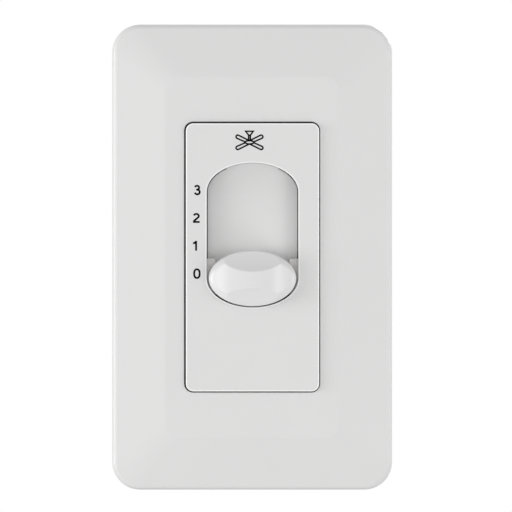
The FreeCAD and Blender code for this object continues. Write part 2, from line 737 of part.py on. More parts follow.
def track_profile():
    """Side view of the track: flange, tongue, upper cove, floor, lower cove and flange."""
    centre_y = face_y + TRACK_DEPTH - TRACK_COVE
    back_radius = TRACK_COVE + TRACK_WALL
    flange_y = insert_back_y
    tongue_z = window_top - TRACK_TONGUE_GAP
    tongue_y = face_y + TRACK_TONGUE_DEPTH
    top_turn = math.degrees(math.acos((tongue_y - centre_y) / TRACK_COVE))
    low_turn = math.degrees(math.acos((flange_y - centre_y) / TRACK_COVE))
    back_turn = math.degrees(math.acos((flange_y + TRACK_WALL - centre_y) / back_radius))
    high_z = tongue_z - TRACK_COVE * math.sin(math.radians(top_turn))
    low_z = window_bottom + TRACK_COVE * math.sin(math.radians(low_turn))
    top = track_flange_z(1) + TRACK_FLANGE_HEIGHT / 2
    bottom = track_flange_z(-1) - TRACK_FLANGE_HEIGHT / 2
    front_high = arc_points(high_z, centre_y, TRACK_COVE, (top_turn, top_turn / 2, 0))
    front_low = arc_points(low_z, centre_y, TRACK_COVE, (0, -low_turn / 2, -low_turn))
    back_low = arc_points(low_z, centre_y, back_radius, (-back_turn, -back_turn / 2, 0))
    back_high = arc_points(high_z, centre_y, back_radius, (0, back_turn / 2, back_turn))
    start = Vector(0, flange_y, top)
    corners = {
        "tongue foot": Vector(0, flange_y, tongue_z),
        "front bottom": Vector(0, flange_y, bottom),
        "back bottom": Vector(0, flange_y + TRACK_WALL, bottom),
        "back top": Vector(0, flange_y + TRACK_WALL, top),
    }
    chain = [
        [start, corners["tongue foot"]],
        [corners["tongue foot"], front_high[0]],
        front_high,
        [front_high[2], front_low[0]],
        front_low,
        [front_low[2], corners["front bottom"]],
        [corners["front bottom"], corners["back bottom"]],
        [corners["back bottom"], back_low[0]],
        back_low,
        [back_low[2], back_high[0]],
        back_high,
        [back_high[2], corners["back top"]],
        [corners["back top"], start],
    ]
    edges = []
    for points in chain:
        curve = Part.Arc(*points) if len(points) == 3 else Part.LineSegment(*points)
        edges.append(curve.toShape())
    return Part.Wire(edges)


def slot_track():
    """Concave track that closes the window from behind, with runners for the carrier."""
    half = INSERT_WIDTH
    profile = Part.Face(track_profile())
    profile.translate(Vector(-half, 0, 0))
    bar = profile.extrude(Vector(2 * half, 0, 0))
    front = face_y - OVERRUN
    back = strap_front
    neck = TRACK_TONGUE_WIDTH / 2
    flanges = []
    for end in (-1, 1):
        z = track_flange_z(end)
        flanges.append(slab(track_flange_width, TRACK_FLANGE_HEIGHT, CORNER, front, back, z=z))
    plan = join([
        window_prism(TRACK_SLIT, front, back),
        block(-neck, neck, front, back, track_flange_z(-1), track_flange_z(1)),
    ] + flanges)
    body = bar.common(plan)
    outside = block(-half, half, front, insert_back_y, window_bottom - half, window_top + half)
    body = body.cut(outside.cut(
        window_prism(TRACK_TONGUE_GAP, front - OVERRUN, insert_back_y + OVERRUN)))
    runners = []
    for side in (-1, 1):
        inner_x = side * (track_half_width - TRACK_RIB)
        outer_x = side * track_half_width
        runners.append(block(
            min(inner_x, outer_x), max(inner_x, outer_x),
            face_y + TRACK_DEPTH + TRACK_WALL / 2, CARRIER_FRONT - SLIDE_GAP,
            knob_rest_z - TRACK_RIB_SPARE, knob_rest_z + travel + TRACK_RIB_SPARE))
    body = join([body] + runners)
    for x, z in stake_places():
        body = body.cut(rod(STAKE_RADIUS + SCREW_GAP, x, z, face_y, strap_front))
    return body


def slider_saddle():
    """Bridge across the track, with shoulders, a post for the knob and two legs for the carrier."""
    front = insert_back_y + SADDLE_TOP_GAP
    back = front + SADDLE_THICK
    half = saddle_width / 2
    z = knob_rest_z
    pieces = [block(-half, half, front, back, z - SADDLE_BAR_HEIGHT / 2, z + SADDLE_BAR_HEIGHT / 2)]
    for side in (-1, 1):
        middle = side * (half - SHOULDER_WIDTH / 2)
        pieces.append(slab(SHOULDER_WIDTH, SHOULDER_HEIGHT, SHOULDER_CORNER, front, back, x=middle, z=z))
        leg = side * (half - LEG_THICK / 2)
        pieces.append(block(
            leg - LEG_THICK / 2, leg + LEG_THICK / 2, front, CARRIER_FRONT + LEG_SUNK,
            z - LEG_HEIGHT / 2, z + LEG_HEIGHT / 2))
    pieces.append(block(
        -POST_WIDTH / 2, POST_WIDTH / 2, face_y - POST_PROUD, back,
        z - POST_HEIGHT / 2, z + POST_HEIGHT / 2))
    return join(pieces)


def ellipse_prism(half_width, half_height, y0, y1):
    """Oval bar along Y, centred on the knob."""
    centre = Vector(0, y0, knob_rest_z)
    ellipse = Part.Ellipse(
        centre + Vector(half_width, 0, 0), centre + Vector(0, 0, half_height), centre)
    return Part.Face(Part.Wire([ellipse.toShape()])).extrude(Vector(0, y1 - y0, 0))


def knob():
    """Oval cap: crowned from side to side, with a finger scoop above and below the ridge."""
    rim_y = face_y + KNOB_SUNK
    top_y = face_y - KNOB_PROUD
    half_width = knob_width / 2
    half_height = KNOB_HEIGHT / 2
    cap = ellipse_prism(half_width, half_height, top_y - OVERRUN, rim_y)
    crown = Part.makeCylinder(
        KNOB_CROWN_RADIUS, 4 * half_height,
        Vector(0, top_y + KNOB_CROWN_RADIUS, knob_rest_z - 2 * half_height), Vector(0, 0, 1))
    cap = cap.common(crown)
    cap = round_edges(cap, KNOB_END_ROUND, lambda point: point.y < rim_y - NEAR)
    turn = math.radians(KNOB_SCOOP_ANGLE)
    for end, ridge in ((1, KNOB_RIDGE_ABOVE), (-1, KNOB_RIDGE_BELOW)):
        centre = Vector(
            -knob_width,
            top_y - KNOB_SCOOP_RADIUS * math.cos(turn),
            knob_rest_z + end * (ridge + KNOB_SCOOP_RADIUS * math.sin(turn)),
        )
        cap = cap.cut(Part.makeCylinder(
            KNOB_SCOOP_RADIUS, 2 * knob_width, centre, Vector(1, 0, 0)))
    hollow = ellipse_prism(
        half_width - KNOB_WALL, half_height - KNOB_WALL, face_y - KNOB_CAVITY_HEIGHT,
        rim_y + OVERRUN)
    socket_width = POST_WIDTH + 2 * FIT_GAP
    socket_height = POST_HEIGHT + 2 * FIT_GAP
    saddle_front = insert_back_y + SADDLE_TOP_GAP
    z = knob_rest_z
    boss = block(
        -socket_width / 2 - SOCKET_WALL, socket_width / 2 + SOCKET_WALL,
        face_y - KNOB_CAVITY_HEIGHT - KNOB_WALL / 2, saddle_front,
        z - socket_height / 2 - SOCKET_WALL, z + socket_height / 2 + SOCKET_WALL)
    cap = join([cap.cut(hollow), boss])
    cap = cap.cut(block(
        -socket_width / 2, socket_width / 2,
        face_y - POST_PROUD - FIT_GAP, saddle_front + OVERRUN,
        z - socket_height / 2, z + socket_height / 2))
    ridge_y = face_y - KNOB_RIDGE_SHARE * KNOB_PROUD
    return round_edges(cap, KNOB_RIDGE_ROUND, lambda point: point.y < ridge_y)


# Switch behind the strap

def contact_carrier():
    """Inner slider that the saddle's legs plug into."""
    z = knob_rest_z
    body = slab(carrier_width, CARRIER_HEIGHT, CORNER, CARRIER_FRONT, carrier_back, z=z)
    for side in (-1, 1):
        leg = side * (saddle_width / 2 - LEG_THICK / 2)
        half = LEG_THICK / 2 + FIT_GAP
        body = body.cut(block(
            leg - half, leg + half, CARRIER_FRONT - OVERRUN, CARRIER_FRONT + LEG_SUNK,
            z - LEG_HEIGHT / 2 - FIT_GAP, z + LEG_HEIGHT / 2 + FIT_GAP))
    return body.cut(slab(
        carrier_width - 2 * CARRIER_POCKET_MARGIN, CARRIER_HEIGHT - 2 * LEG_THICK, CORNER,
        CARRIER_FRONT - OVERRUN, carrier_back - LEG_THICK, z=z))


def wiper_contact():
    """Copper bridge on the carrier, with a rounded tip on the rail and one on the contacts."""
    z = knob_rest_z
    low_x = RAIL_X - WIPER_ARM_WIDTH / 2
    high_x = FIXED_X + WIPER_ARM_WIDTH / 2
    leaf_back = carrier_back + LEAF_THICK
    strip = slab(
        high_x - low_x, 2 * WIPER_ARM_WIDTH, WIPER_ARM_WIDTH / 2, carrier_back, leaf_back,
        x=(low_x + high_x) / 2, z=z)
    tips = []
    for x in (RAIL_X, FIXED_X):
        tips.append(cone(
            WIPER_TIP_RADIUS, WIPER_TIP_END, x, z, leaf_back, leaf_back + CONTACT_RISE))
    return join([strip] + tips)


def detent_spring():
    """Leaf on the carrier with a rounded bump that drops into the rack's notches."""
    z = knob_rest_z
    leaf_back = carrier_back + LEAF_THICK
    width = RACK_WIDTH - 2 * FIT_GAP
    leaf = slab(width, SPRING_HEIGHT, CONTACT_CORNER, carrier_back, leaf_back, x=RACK_X, z=z)
    centre_y = leaf_back + CONTACT_RISE - SPRING_BUMP_RADIUS
    bump = Part.makeCylinder(
        SPRING_BUMP_RADIUS, width, Vector(RACK_X - width / 2, centre_y, z), Vector(1, 0, 0))
    behind = block(
        RACK_X - width, RACK_X + width, carrier_back, base_front,
        z - SPRING_BUMP_RADIUS, z + SPRING_BUMP_RADIUS)
    return join([leaf, bump.common(behind)])


def contact_places():
    """Heights of the speed contacts. Position 0 is off and has none."""
    return [knob_rest_z + number * pitch for number in range(1, POSITIONS)]


def tail_holes(grow):
    """Square tails of the contacts, through the base and into the board."""
    tails = []
    for x, z in [(FIXED_X, z) for z in contact_places()] + [(RAIL_X, rail_tail_z())]:
        half = CONTACT_TAIL / 2 + grow
        tails.append(block(x - half, x + half, base_front - grow, board_back - BOARD_THICK / 2 + grow,
                           z - half, z + half))
    return tails


def rail_tail_z():
    return knob_rest_z + travel / 2


def switch_base():
    """Channel moulding: floor, side walls, end stops and the detent rack."""
    outer_low = channel_low - BASE_END_WALL
    outer_high = channel_high + BASE_END_WALL
    middle = (outer_low + outer_high) / 2
    body = slab(base_width, outer_high - outer_low, CORNER, 0, base_back, z=middle)
    body = body.cut(block(
        -channel_half_width, channel_half_width, -OVERRUN, base_front, channel_low, channel_high))
    rack = block(
        RACK_X - RACK_WIDTH / 2, RACK_X + RACK_WIDTH / 2, contact_front, base_front,
        channel_low, channel_high)
    for number in range(POSITIONS):
        rack = rack.cut(Part.makeCylinder(
            RACK_NOTCH_RADIUS, 2 * RACK_WIDTH,
            Vector(RACK_X - RACK_WIDTH, contact_front - RACK_NOTCH_RADIUS / 2,
                   knob_rest_z + number * pitch),
            Vector(1, 0, 0)))
    body = join([body, rack])
    for tail in tail_holes(FIT_GAP):
        body = body.cut(tail)
    return body


def fixed_contacts():
    """One riveted pad for each speed, with its tail."""
    pads = []
    for z, tail in zip(contact_places(), tail_holes(0)):
        pad = slab(
            FIXED_WIDTH, fixed_height, CONTACT_CORNER, contact_front, base_front, x=FIXED_X, z=z)
        pads.append(join([pad, tail]))
    return Part.makeCompound(pads)


def common_rail():
    """Long contact that the wiper never leaves."""
    low = knob_rest_z - fixed_height / 2
    high = knob_rest_z + travel + fixed_height / 2
    strip = slab(
        RAIL_WIDTH, high - low, CONTACT_CORNER, contact_front, base_front,
        x=RAIL_X, z=(low + high) / 2)
    return join([strip, tail_holes(0)[-1]])


# Board and components

def capacitor_height(large):
    """Height of a capacitor. The two fill the space between the terminal pockets."""
    both = 2 * (terminal_z - TERMINAL_POCKET_HEIGHT / 2 - HOUSING_WALL - CAPACITOR_POCKET_GAP)
    share = CAPACITOR_LARGE_SHARE if large else 1 - CAPACITOR_LARGE_SHARE
    return share * (both - CAPACITOR_GAP)


def capacitor_z(large):
    """Middle of a capacitor. The larger is above the smaller."""
    side = 1 if large else -1
    return side * (capacitor_height(not large) + CAPACITOR_GAP) / 2


def resistor_places():
    """Middles of the two resistors, as Z."""
    middle = -board_height / 2 + RESISTOR_FROM_END
    return [middle - RESISTOR_PITCH / 2, middle + RESISTOR_PITCH / 2]


def lead_places():
    """Every round lead through the board, as X and Z."""
    places = []
    for large in (True, False):
        for side in (-1, 1):
            places.append((side * capacitor_lead_x, capacitor_z(large)))
    for z in resistor_places():
        for side in (-1, 1):
            places.append((side * RESISTOR_LEAD_SPACING / 2, z))
    return places


def circuit_board():
    board = slab(board_width, board_height, CORNER, base_back, board_back)
    for x, z in lead_places():
        board = board.cut(rod(
            LEAD_HOLE_RADIUS, x, z, base_back - OVERRUN, board_back + OVERRUN))
    for tail in tail_holes(FIT_GAP):
        board = board.cut(tail)
    for end in (-1, 1):
        board = board.cut(terminal_tail(end, FIT_GAP))
    return board


def capacitor(large):
    """Boxed film capacitor with two leads into the board."""
    z = capacitor_z(large)
    back = board_back + capacitor_depth
    case = slab(
        capacitor_width, capacitor_height(large), CAPACITOR_ROUND, board_back, back, z=z)
    case = chamfer_edges(case, CAPACITOR_ROUND / 2, at_depth(back))
    leads = []
    for side in (-1, 1):
        x = side * capacitor_lead_x
        leads.append(rod(LEAD_RADIUS, x, z, board_back - BOARD_THICK / 2, board_back))
    return join([case] + leads)


def bleed_resistor(z):
    """Body with waisted ends, and a wire bent into the board at each end."""
    y = board_back + RESISTOR_RADIUS
    half = RESISTOR_LENGTH / 2
    along = Vector(1, 0, 0)
    wire_end = RESISTOR_LEAD_SPACING / 2 + LEAD_RADIUS
    pieces = [
        Part.makeCylinder(RESISTOR_WAIST, RESISTOR_LENGTH, Vector(-half, y, z), along),
        Part.makeCylinder(RESISTOR_RADIUS, RESISTOR_CAP, Vector(-half, y, z), along),
        Part.makeCylinder(
            RESISTOR_RADIUS, RESISTOR_CAP, Vector(half - RESISTOR_CAP, y, z), along),
        Part.makeCylinder(LEAD_RADIUS, 2 * wire_end, Vector(-wire_end, y, z), along),
    ]
    for side in (-1, 1):
        x = side * RESISTOR_LEAD_SPACING / 2
        pieces.append(rod(LEAD_RADIUS, x, z, board_back - BOARD_THICK / 2, y + LEAD_RADIUS))
    return join(pieces)


# Rear housing and terminals

def terminal_tail(end, grow):
    """Strip from the terminal plate through the pocket wall and forwards into the board."""
    z = end * terminal_z
    inner_x = pocket_floor_x - HOUSING_WALL - TERMINAL_PLATE_THICK
    half = TERMINAL_TAIL / 2 + grow
    front = terminal_screw_y - TERMINAL_PLATE / 2
    across = block(
        inner_x - grow, pocket_floor_x + TERMINAL_PLATE_THICK, front - grow,
        front + TERMINAL_PLATE_THICK + grow, z - half, z + half)
    forward = block(
        inner_x - grow, inner_x + TERMINAL_PLATE_THICK + grow,
        board_back - BOARD_THICK / 2 - grow, front + TERMINAL_PLATE_THICK, z - half, z + half)
    return join([across, forward])


def terminal_plate(end):
    """Brass plate on the pocket's floor, tapped for the terminal screw."""
    z = end * terminal_z
    y = terminal_screw_y
    half = TERMINAL_PLATE / 2
    plate = block(
        pocket_floor_x, pocket_floor_x + TERMINAL_PLATE_THICK, y - half, y + half,
        z - half, z + half)
    plate = join([plate, terminal_tail(end, 0)])
    return plate.cut(screw_hole(pocket_floor_x, y, z, TERMINAL_PLATE_THICK))


def screw_hole(x, y, z, length):
    """Hole along X for a terminal screw, through a piece that starts at x."""
    return Part.makeCylinder(
        TERMINAL_SCREW_RADIUS + SCREW_GAP, length + 2 * OVERRUN,
        Vector(x - OVERRUN, y, z), Vector(1, 0, 0))


def terminal_clamp(end):
    """Square pressure plate between the screw's head and the terminal plate."""
    z = end * terminal_z
    y = terminal_screw_y
    x = pocket_floor_x + TERMINAL_PLATE_THICK
    half = TERMINAL_CLAMP / 2
    clamp = block(x, x + TERMINAL_CLAMP_THICK, y - half, y + half, z - half, z + half)

    def at_corner(point):
        return abs(abs(point.y - y) - half) < TOUCH and abs(abs(point.z - z) - half) < TOUCH

    clamp = round_edges(clamp, TERMINAL_CLAMP_THICK, at_corner)
    return clamp.cut(screw_hole(x, y, z, TERMINAL_CLAMP_THICK))


def terminal_screw(end):
    seat = pocket_floor_x + TERMINAL_PLATE_THICK + TERMINAL_CLAMP_THICK
    return side_screw(seat, terminal_screw_y, end * terminal_z, 1)


def rear_housing():
    """Moulded box behind the strap, with bosses, a ledge for the board and side pockets."""
    body = slab(HOUSING_WIDTH, housing_height, HOUSING_CORNER, 0, HOUSING_DEPTH)
    body = round_edges(body, HOUSING_BACK_ROUND, at_depth(HOUSING_DEPTH))
    inner_height = housing_height - 2 * HOUSING_WALL
    inner_corner = HOUSING_CORNER - HOUSING_WALL
    hollow = join([
        slab(housing_inner_width, inner_height, inner_corner, -OVERRUN, board_back),
        slab(housing_rear_width, inner_height, inner_corner, -OVERRUN,
             HOUSING_DEPTH - HOUSING_WALL),
    ])
    outer = body.copy()
    body = body.cut(hollow)
    adds = []
    cuts = []
    for end in (-1, 1):
        z = end * terminal_z
        front = TERMINAL_POCKET_FRONT
        back = front + TERMINAL_POCKET_LENGTH
        half = TERMINAL_POCKET_HEIGHT / 2
        adds.append(block(
            pocket_floor_x - HOUSING_WALL, HOUSING_WIDTH / 2,
            front - HOUSING_WALL, back + HOUSING_WALL,
            z - half - HOUSING_WALL, z + half + HOUSING_WALL))
        cuts.append(block(
            pocket_floor_x, HOUSING_WIDTH / 2 + OVERRUN, front, back, z - half, z + half))
        cuts.append(screw_hole(pocket_floor_x - HOUSING_WALL, terminal_screw_y, z, HOUSING_WALL))
        cuts.append(terminal_tail(end, FIT_GAP))
        for side in (-1, 1):
            x = side * housing_screw_x
            screw_z = end * housing_screw_z
            adds.append(rod(HOUSING_BOSS_RADIUS, x, screw_z, 0, HOUSING_DEPTH - HOUSING_WALL / 2))
            cuts.append(rod(
                HOUSING_SCREW_RADIUS + HOUSING_HOLE_GAP, x, screw_z,
                -OVERRUN, HOUSING_DEPTH + OVERRUN))
            cuts.append(rod(
                HOUSING_HEAD_RADIUS + HOUSING_HEAD_GAP, x, screw_z,
                HOUSING_DEPTH - HOUSING_HEAD_HEIGHT, HOUSING_DEPTH + OVERRUN))
    body = join([body] + [add.common(outer) for add in adds])
    for cut in cuts:
        body = body.cut(cut)
    return body


def housing_screw(side, end):
    """Long thin screw from the back of the housing into a boss of the insert."""
    x = side * housing_screw_x
    z = end * housing_screw_z
    seat = HOUSING_DEPTH - HOUSING_HEAD_HEIGHT
    head = rod(HOUSING_HEAD_RADIUS, x, z, seat, HOUSING_DEPTH)
    shank = rod(HOUSING_SCREW_RADIUS, x, z, strap_front - HOUSING_SCREW_GRIP, seat)
    screw = join([head, shank])
    half = CROSS_WIDTH / 2
    for across, up in ((CROSS_REACH, half), (half, CROSS_REACH)):
        screw = screw.cut(block(
            x - across, x + across, HOUSING_DEPTH - DRIVER_SLOT_DEPTH, HOUSING_DEPTH + OVERRUN,
            z - up, z + up))
    return screw


def pair(make):
    """Upper and lower copies of a piece, as separate solids."""
    return Part.makeCompound([make(end) for end in (-1, 1)])


def main():
    screws = [housing_screw(side, end) for side in (-1, 1) for end in (-1, 1)]
    pieces = {
        "wall_plate": wall_plate(),
        "sub_plate": sub_plate(),
        "plate_screws": pair(plate_screw),
        "mounting_strap": mounting_strap(),
        "box_screws": pair(box_screw),
        "screw_keepers": pair(screw_keeper),
        "ground_screw": ground_screw(),
        "bezel": bezel(),
        "slot_track": slot_track(),
        "slider_saddle": slider_saddle(),
        "knob": knob(),
        "contact_carrier": contact_carrier(),
        "wiper_contact": wiper_contact(),
        "detent_spring": detent_spring(),
        "switch_base": switch_base(),
        "fixed_contacts": fixed_contacts(),
        "common_rail": common_rail(),
        "circuit_board": circuit_board(),
        "capacitor_large": capacitor(True),
        "capacitor_small": capacitor(False),
        "bleed_resistors": Part.makeCompound([bleed_resistor(z) for z in resistor_places()]),
        "rear_housing": rear_housing(),
        "housing_screws": Part.makeCompound(screws),
        "terminal_plates": pair(terminal_plate),
        "terminal_clamps": pair(terminal_clamp),
        "terminal_screws": pair(terminal_screw),
    }
    os.makedirs("parts", exist_ok=True)
    for name, shape in pieces.items():
        valid = shape.isValid()
        print(f"{name:18s} solids {len(shape.Solids)} volume {shape.Volume:9.2f} valid {valid}")
        shape.exportStep(f"parts/{name}.step")


main()
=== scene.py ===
"""Looks of a speed control for a ceiling fan: finishes, printed marks, threads and stage."""

import json
import math

import bmesh
import bpy
from mathutils import Matrix, Vector


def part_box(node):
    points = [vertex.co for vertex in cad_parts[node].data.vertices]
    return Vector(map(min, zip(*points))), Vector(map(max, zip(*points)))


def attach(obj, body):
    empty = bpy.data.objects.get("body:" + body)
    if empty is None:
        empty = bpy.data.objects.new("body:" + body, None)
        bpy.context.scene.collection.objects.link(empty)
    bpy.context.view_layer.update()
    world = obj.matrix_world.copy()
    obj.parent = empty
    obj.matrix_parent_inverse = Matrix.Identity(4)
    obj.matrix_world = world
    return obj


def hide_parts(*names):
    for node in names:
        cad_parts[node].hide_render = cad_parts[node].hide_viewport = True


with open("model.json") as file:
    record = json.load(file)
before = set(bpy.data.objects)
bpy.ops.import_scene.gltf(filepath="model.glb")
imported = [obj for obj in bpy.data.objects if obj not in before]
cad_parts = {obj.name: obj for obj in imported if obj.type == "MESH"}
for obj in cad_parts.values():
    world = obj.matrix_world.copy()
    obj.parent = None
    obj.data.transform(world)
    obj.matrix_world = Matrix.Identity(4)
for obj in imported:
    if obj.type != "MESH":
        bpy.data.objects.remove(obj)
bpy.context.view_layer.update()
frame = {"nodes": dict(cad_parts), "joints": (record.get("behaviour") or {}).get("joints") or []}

bl_info = {
    "name": "Fan Speed Control",
    "version": (1, 0, 0),
    "blender": (4, 5, 0),
    "location": "View3D > Sidebar > Fan Control",
    "description": "Finishes, printed marks, screw threads and stage of a slide control for a fan",
    "category": "Object",
}

MM = 0.001
EVEN_GRAIN = (1.0, 1.0, 1.0)
FINE_GRAIN, FINE_RELIEF, FINE_EDGE = 0.12 * MM, 0.003 * MM, 0.08 * MM
PAINTED_HIGHLIGHT = 1.3  # painted highlight: how much lighter the insert's crisp edges and the band round its window are painted than its face
GAP_SHADE, GAP_COVER = 0.05, 0.95  # painted shade: how dark the gap round the insert is painted, and how fully

# Places read from the frame, in metres
knob_low, knob_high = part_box("knob")
face_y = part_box("bezel")[0].y
plate_face_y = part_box("wall_plate")[0].y
knob_rest_z = (knob_low.z + knob_high.z) / 2
knob_travel = frame["joints"][0]["range_m"][1]


# Shader graphs

class Value:
    """A socket that gives a number. Arithmetic on it adds Math nodes."""

    def __init__(self, graph, socket):
        self.graph = graph
        self.socket = socket

    def __add__(self, other):
        return self.graph.math("ADD", self, other)

    def __radd__(self, other):
        return self.graph.math("ADD", other, self)

    def __sub__(self, other):
        return self.graph.math("SUBTRACT", self, other)

    def __rsub__(self, other):
        return self.graph.math("SUBTRACT", other, self)

    def __mul__(self, other):
        return self.graph.math("MULTIPLY", self, other)

    def __rmul__(self, other):
        return self.graph.math("MULTIPLY", other, self)

    def __truediv__(self, other):
        return self.graph.math("DIVIDE", self, other)

    def __rtruediv__(self, other):
        return self.graph.math("DIVIDE", other, self)


class Graph:
    """The node tree of a material or the world."""

    def __init__(self, tree):
        self.tree = tree
        tree.nodes.clear()

    def node(self, kind, settings=None, inputs=None, output=0):
        """Adds a node: its settings first, then the values and links of its sockets."""
        made = self.tree.nodes.new(kind)
        for name, value in (settings or {}).items():
            setattr(made, name, value)
        for key, value in (inputs or {}).items():
            if isinstance(value, Value):
                self.tree.links.new(value.socket, made.inputs[key])
            else:
                made.inputs[key].default_value = value
        return Value(self, made.outputs[output]) if made.outputs else made

    def math(self, operation, first, second=0.0):
        """Number worked out from one or two others."""
        return self.node("ShaderNodeMath", {"operation": operation}, {0: first, 1: second})

    def place(self):
        """Place on the object, in metres."""
        return self.node("ShaderNodeTexCoord", output="Object")

    def axis(self, name):
        """One coordinate of the place on the object, in metres."""
        return self.node("ShaderNodeSeparateXYZ", inputs={0: self.place()}, output=name)

    def noise(self, feature, detail=2.0, stretch=EVEN_GRAIN, soften=0.5):
        """Noise from 0 to 1 whose lumps are about one feature across, in metres."""
        across = self.node(
            "ShaderNodeVectorMath", {"operation": "MULTIPLY"},
            {0: self.place(), 1: [1 / (feature * share) for share in stretch]})
        return self.node(
            "ShaderNodeTexNoise",
            inputs={"Vector": across, "Scale": 1.0, "Detail": detail, "Roughness": soften})

    def smooth(self, value, low, high, out_low=0.0, out_high=1.0):
        """Soft step of a value between two levels."""
        return self.node(
            "ShaderNodeMapRange", {"interpolation_type": "SMOOTHSTEP"},
            {"Value": value, "From Min": low, "From Max": high, "To Min": out_low,
             "To Max": out_high})

    def band(self, value, rise, fall):
        """Soft band of a value, 0 outside it: it rises and falls between pairs of levels."""
        return self.smooth(value, *rise) * self.smooth(value, *fall, 1.0, 0.0)

    def mix(self, share, first, second):
        """Colour between two colours."""
        return self.node(
            "ShaderNodeMix", {"data_type": "RGBA"}, {0: share, 6: first, 7: second}, output=2)

    def bump(self, height, distance, normal=None):
        """Normal of a surface raised by height times a distance in metres."""
        inputs = {"Height": height, "Distance": distance, "Strength": 1.0}
        if normal is not None:
            inputs["Normal"] = normal
        return self.node("ShaderNodeBump", inputs=inputs)

    def worn_edge(self, radius):
        """Normal with sharp edges eased by a radius in metres."""
        return self.node("ShaderNodeBevel", {"samples": 4}, {"Radius": radius})

    def length(self, first, second):
        """Length of the vector that two numbers make."""
        return self.math("POWER", first * first + second * second, 0.5)

    def beyond(self, name, middle, half):
        """How far a place lies beyond a band along one axis, 0 inside it."""
        return self.math("MAXIMUM", self.math("ABSOLUTE", self.axis(name) - middle) - half)

    def past_outline(self, half_x, half_z, corner):
        """Distance outside a rounded rectangle seen from the front, negative just inside."""
        return self.length(
            self.beyond("X", 0.0, half_x - corner),
            self.beyond("Z", 0.0, half_z - corner)) - corner

    def facing_up(self):
        """How far the surface tilts upwards, from 0 for upright to 1 for level."""
        normal = self.node("ShaderNodeTexCoord", output="Normal")
        return self.node("ShaderNodeSeparateXYZ", inputs={0: normal}, output="Z")

    def past_slot(self, middle_z, half_straight, radius_x, radius_z):
        """Distance outside a slot with oval ends seen from the front, near its edge."""
        across = self.axis("X") / radius_x
        along = self.beyond("Z", middle_z, half_straight) / radius_z
        reach = self.length(across, along)
        return (reach - 1.0) * reach / self.length(across / radius_x, along / radius_z)


def rgba(colour, shade=1.0):
    """Colour with alpha, darkened or lightened by a factor."""
    return [channel * shade for channel in colour[:3]] + [1.0]


def material(name, build):
    """New material whose surface the build function fills in."""
    made = bpy.data.materials.new(name)
    made.use_nodes = True
    graph = Graph(made.node_tree)
    inputs = build(graph)
    shader = graph.node("ShaderNodeBsdfPrincipled", inputs=inputs)
    graph.node("ShaderNodeOutputMaterial", inputs={"Surface": shader})
    return made


def moulded_gloss(colour, roughness):
    """Polished moulding: even colour, faint flow waves and a fine skin."""
    def build(graph):
        flow = graph.noise(14 * MM, detail=3.0)
        skin = graph.noise(0.35 * MM)
        waves = graph.noise(2.4 * MM, detail=1.0)
        return {
            "Base Color": graph.mix(flow, rgba(colour, 0.985), rgba(colour, 1.01)),
            "Roughness": roughness - 0.03 + 0.06 * skin,
            "Normal": graph.bump(waves + 0.25 * skin, 0.004 * MM),
            "IOR": 1.49,
        }
    return build


def past_insert(graph, sizes):
    """Distance outside the outline of the insert's face."""
    return graph.past_outline(
        sizes.insert_width / 2, sizes.insert_height / 2, sizes.insert_corner)


def shade_gap(graph, deep, paint, colour):
    """Paints shade over a colour where it lies far into the gap round the insert."""
    return graph.mix(GAP_COVER * deep, paint, rgba(colour, GAP_SHADE))


def insert_gloss(colour, roughness, sizes):
    """Polished insert with painted highlights on its crisp front edges and round its window, and
    painted shade in its gap.
    """
    def build(graph):
        inputs = moulded_gloss(colour, roughness)(graph)
        past = past_insert(graph, sizes)
        window = graph.past_slot(
            knob_rest_z + sizes.window_straight / 2, sizes.window_straight / 2,
            sizes.window_width / 2, sizes.window_end)
        # painted highlight: a lighter band along the insert's crisp front edges and one round its
        # window
        rim_highlight = graph.band(past, (-0.36 * MM, -0.24 * MM), (-0.06 * MM, -0.01 * MM))
        sill_highlight = graph.band(window, (0.08 * MM, 0.16 * MM), (0.26 * MM, 0.4 * MM))
        # painted shade on the insert's side walls, below the cover plate's face, in the gap
        sunk = graph.smooth(graph.axis("Y"), plate_face_y, plate_face_y + 0.3 * MM)
        deep = sunk * graph.smooth(past, -0.3 * MM, -0.1 * MM)
        # the painted highlight goes over the face colour, and the painted shade of the gap over
        # that
        lit = graph.mix(rim_highlight + 0.9 * sill_highlight, inputs["Base Color"], rgba(colour, PAINTED_HIGHLIGHT))
        inputs["Base Color"] = shade_gap(graph, deep, lit, colour)
        return inputs
    return build


def plate_gloss(colour, roughness, sizes):
    """Polished cover plate with painted shade on the walls of its opening, in the gap round the
    insert.
    """
    def build(graph):
        inputs = moulded_gloss(colour, roughness)(graph)
        # painted shade on the walls of the plate's opening, close round the insert
        sunk = graph.smooth(
            graph.axis("Y"), plate_face_y + 0.03 * MM, plate_face_y + 0.2 * MM)
        deep = sunk * graph.smooth(past_insert(graph, sizes), 0.5 * MM, 0.7 * MM, 1.0, 0.0)
        inputs["Base Color"] = shade_gap(graph, deep, inputs["Base Color"], colour)
        return inputs
    return build


def knob_gloss(colour, roughness):
    """Polished knob with painted shade where it faces up."""
    def build(graph):
        inputs = moulded_gloss(colour, roughness)(graph)
        # painted shade: the colour is a little darker where the surface faces up
        up = graph.smooth(graph.facing_up(), 0.05, 0.25)
        inputs["Base Color"] = graph.mix(up, inputs["Base Color"], rgba(colour, 0.91))
        return inputs
    return build


def satin_skin(graph, roughness, grain, depth, edge):
    """Roughness and relief of a spark-textured moulding with eased edges."""
    pits = graph.noise(grain, detail=3.0, soften=0.6)
    return {
        "Roughness": roughness - 0.06 + 0.12 * pits,
        "Normal": graph.bump(pits, depth, graph.worn_edge(edge)),
        "IOR": 1.5,
    }


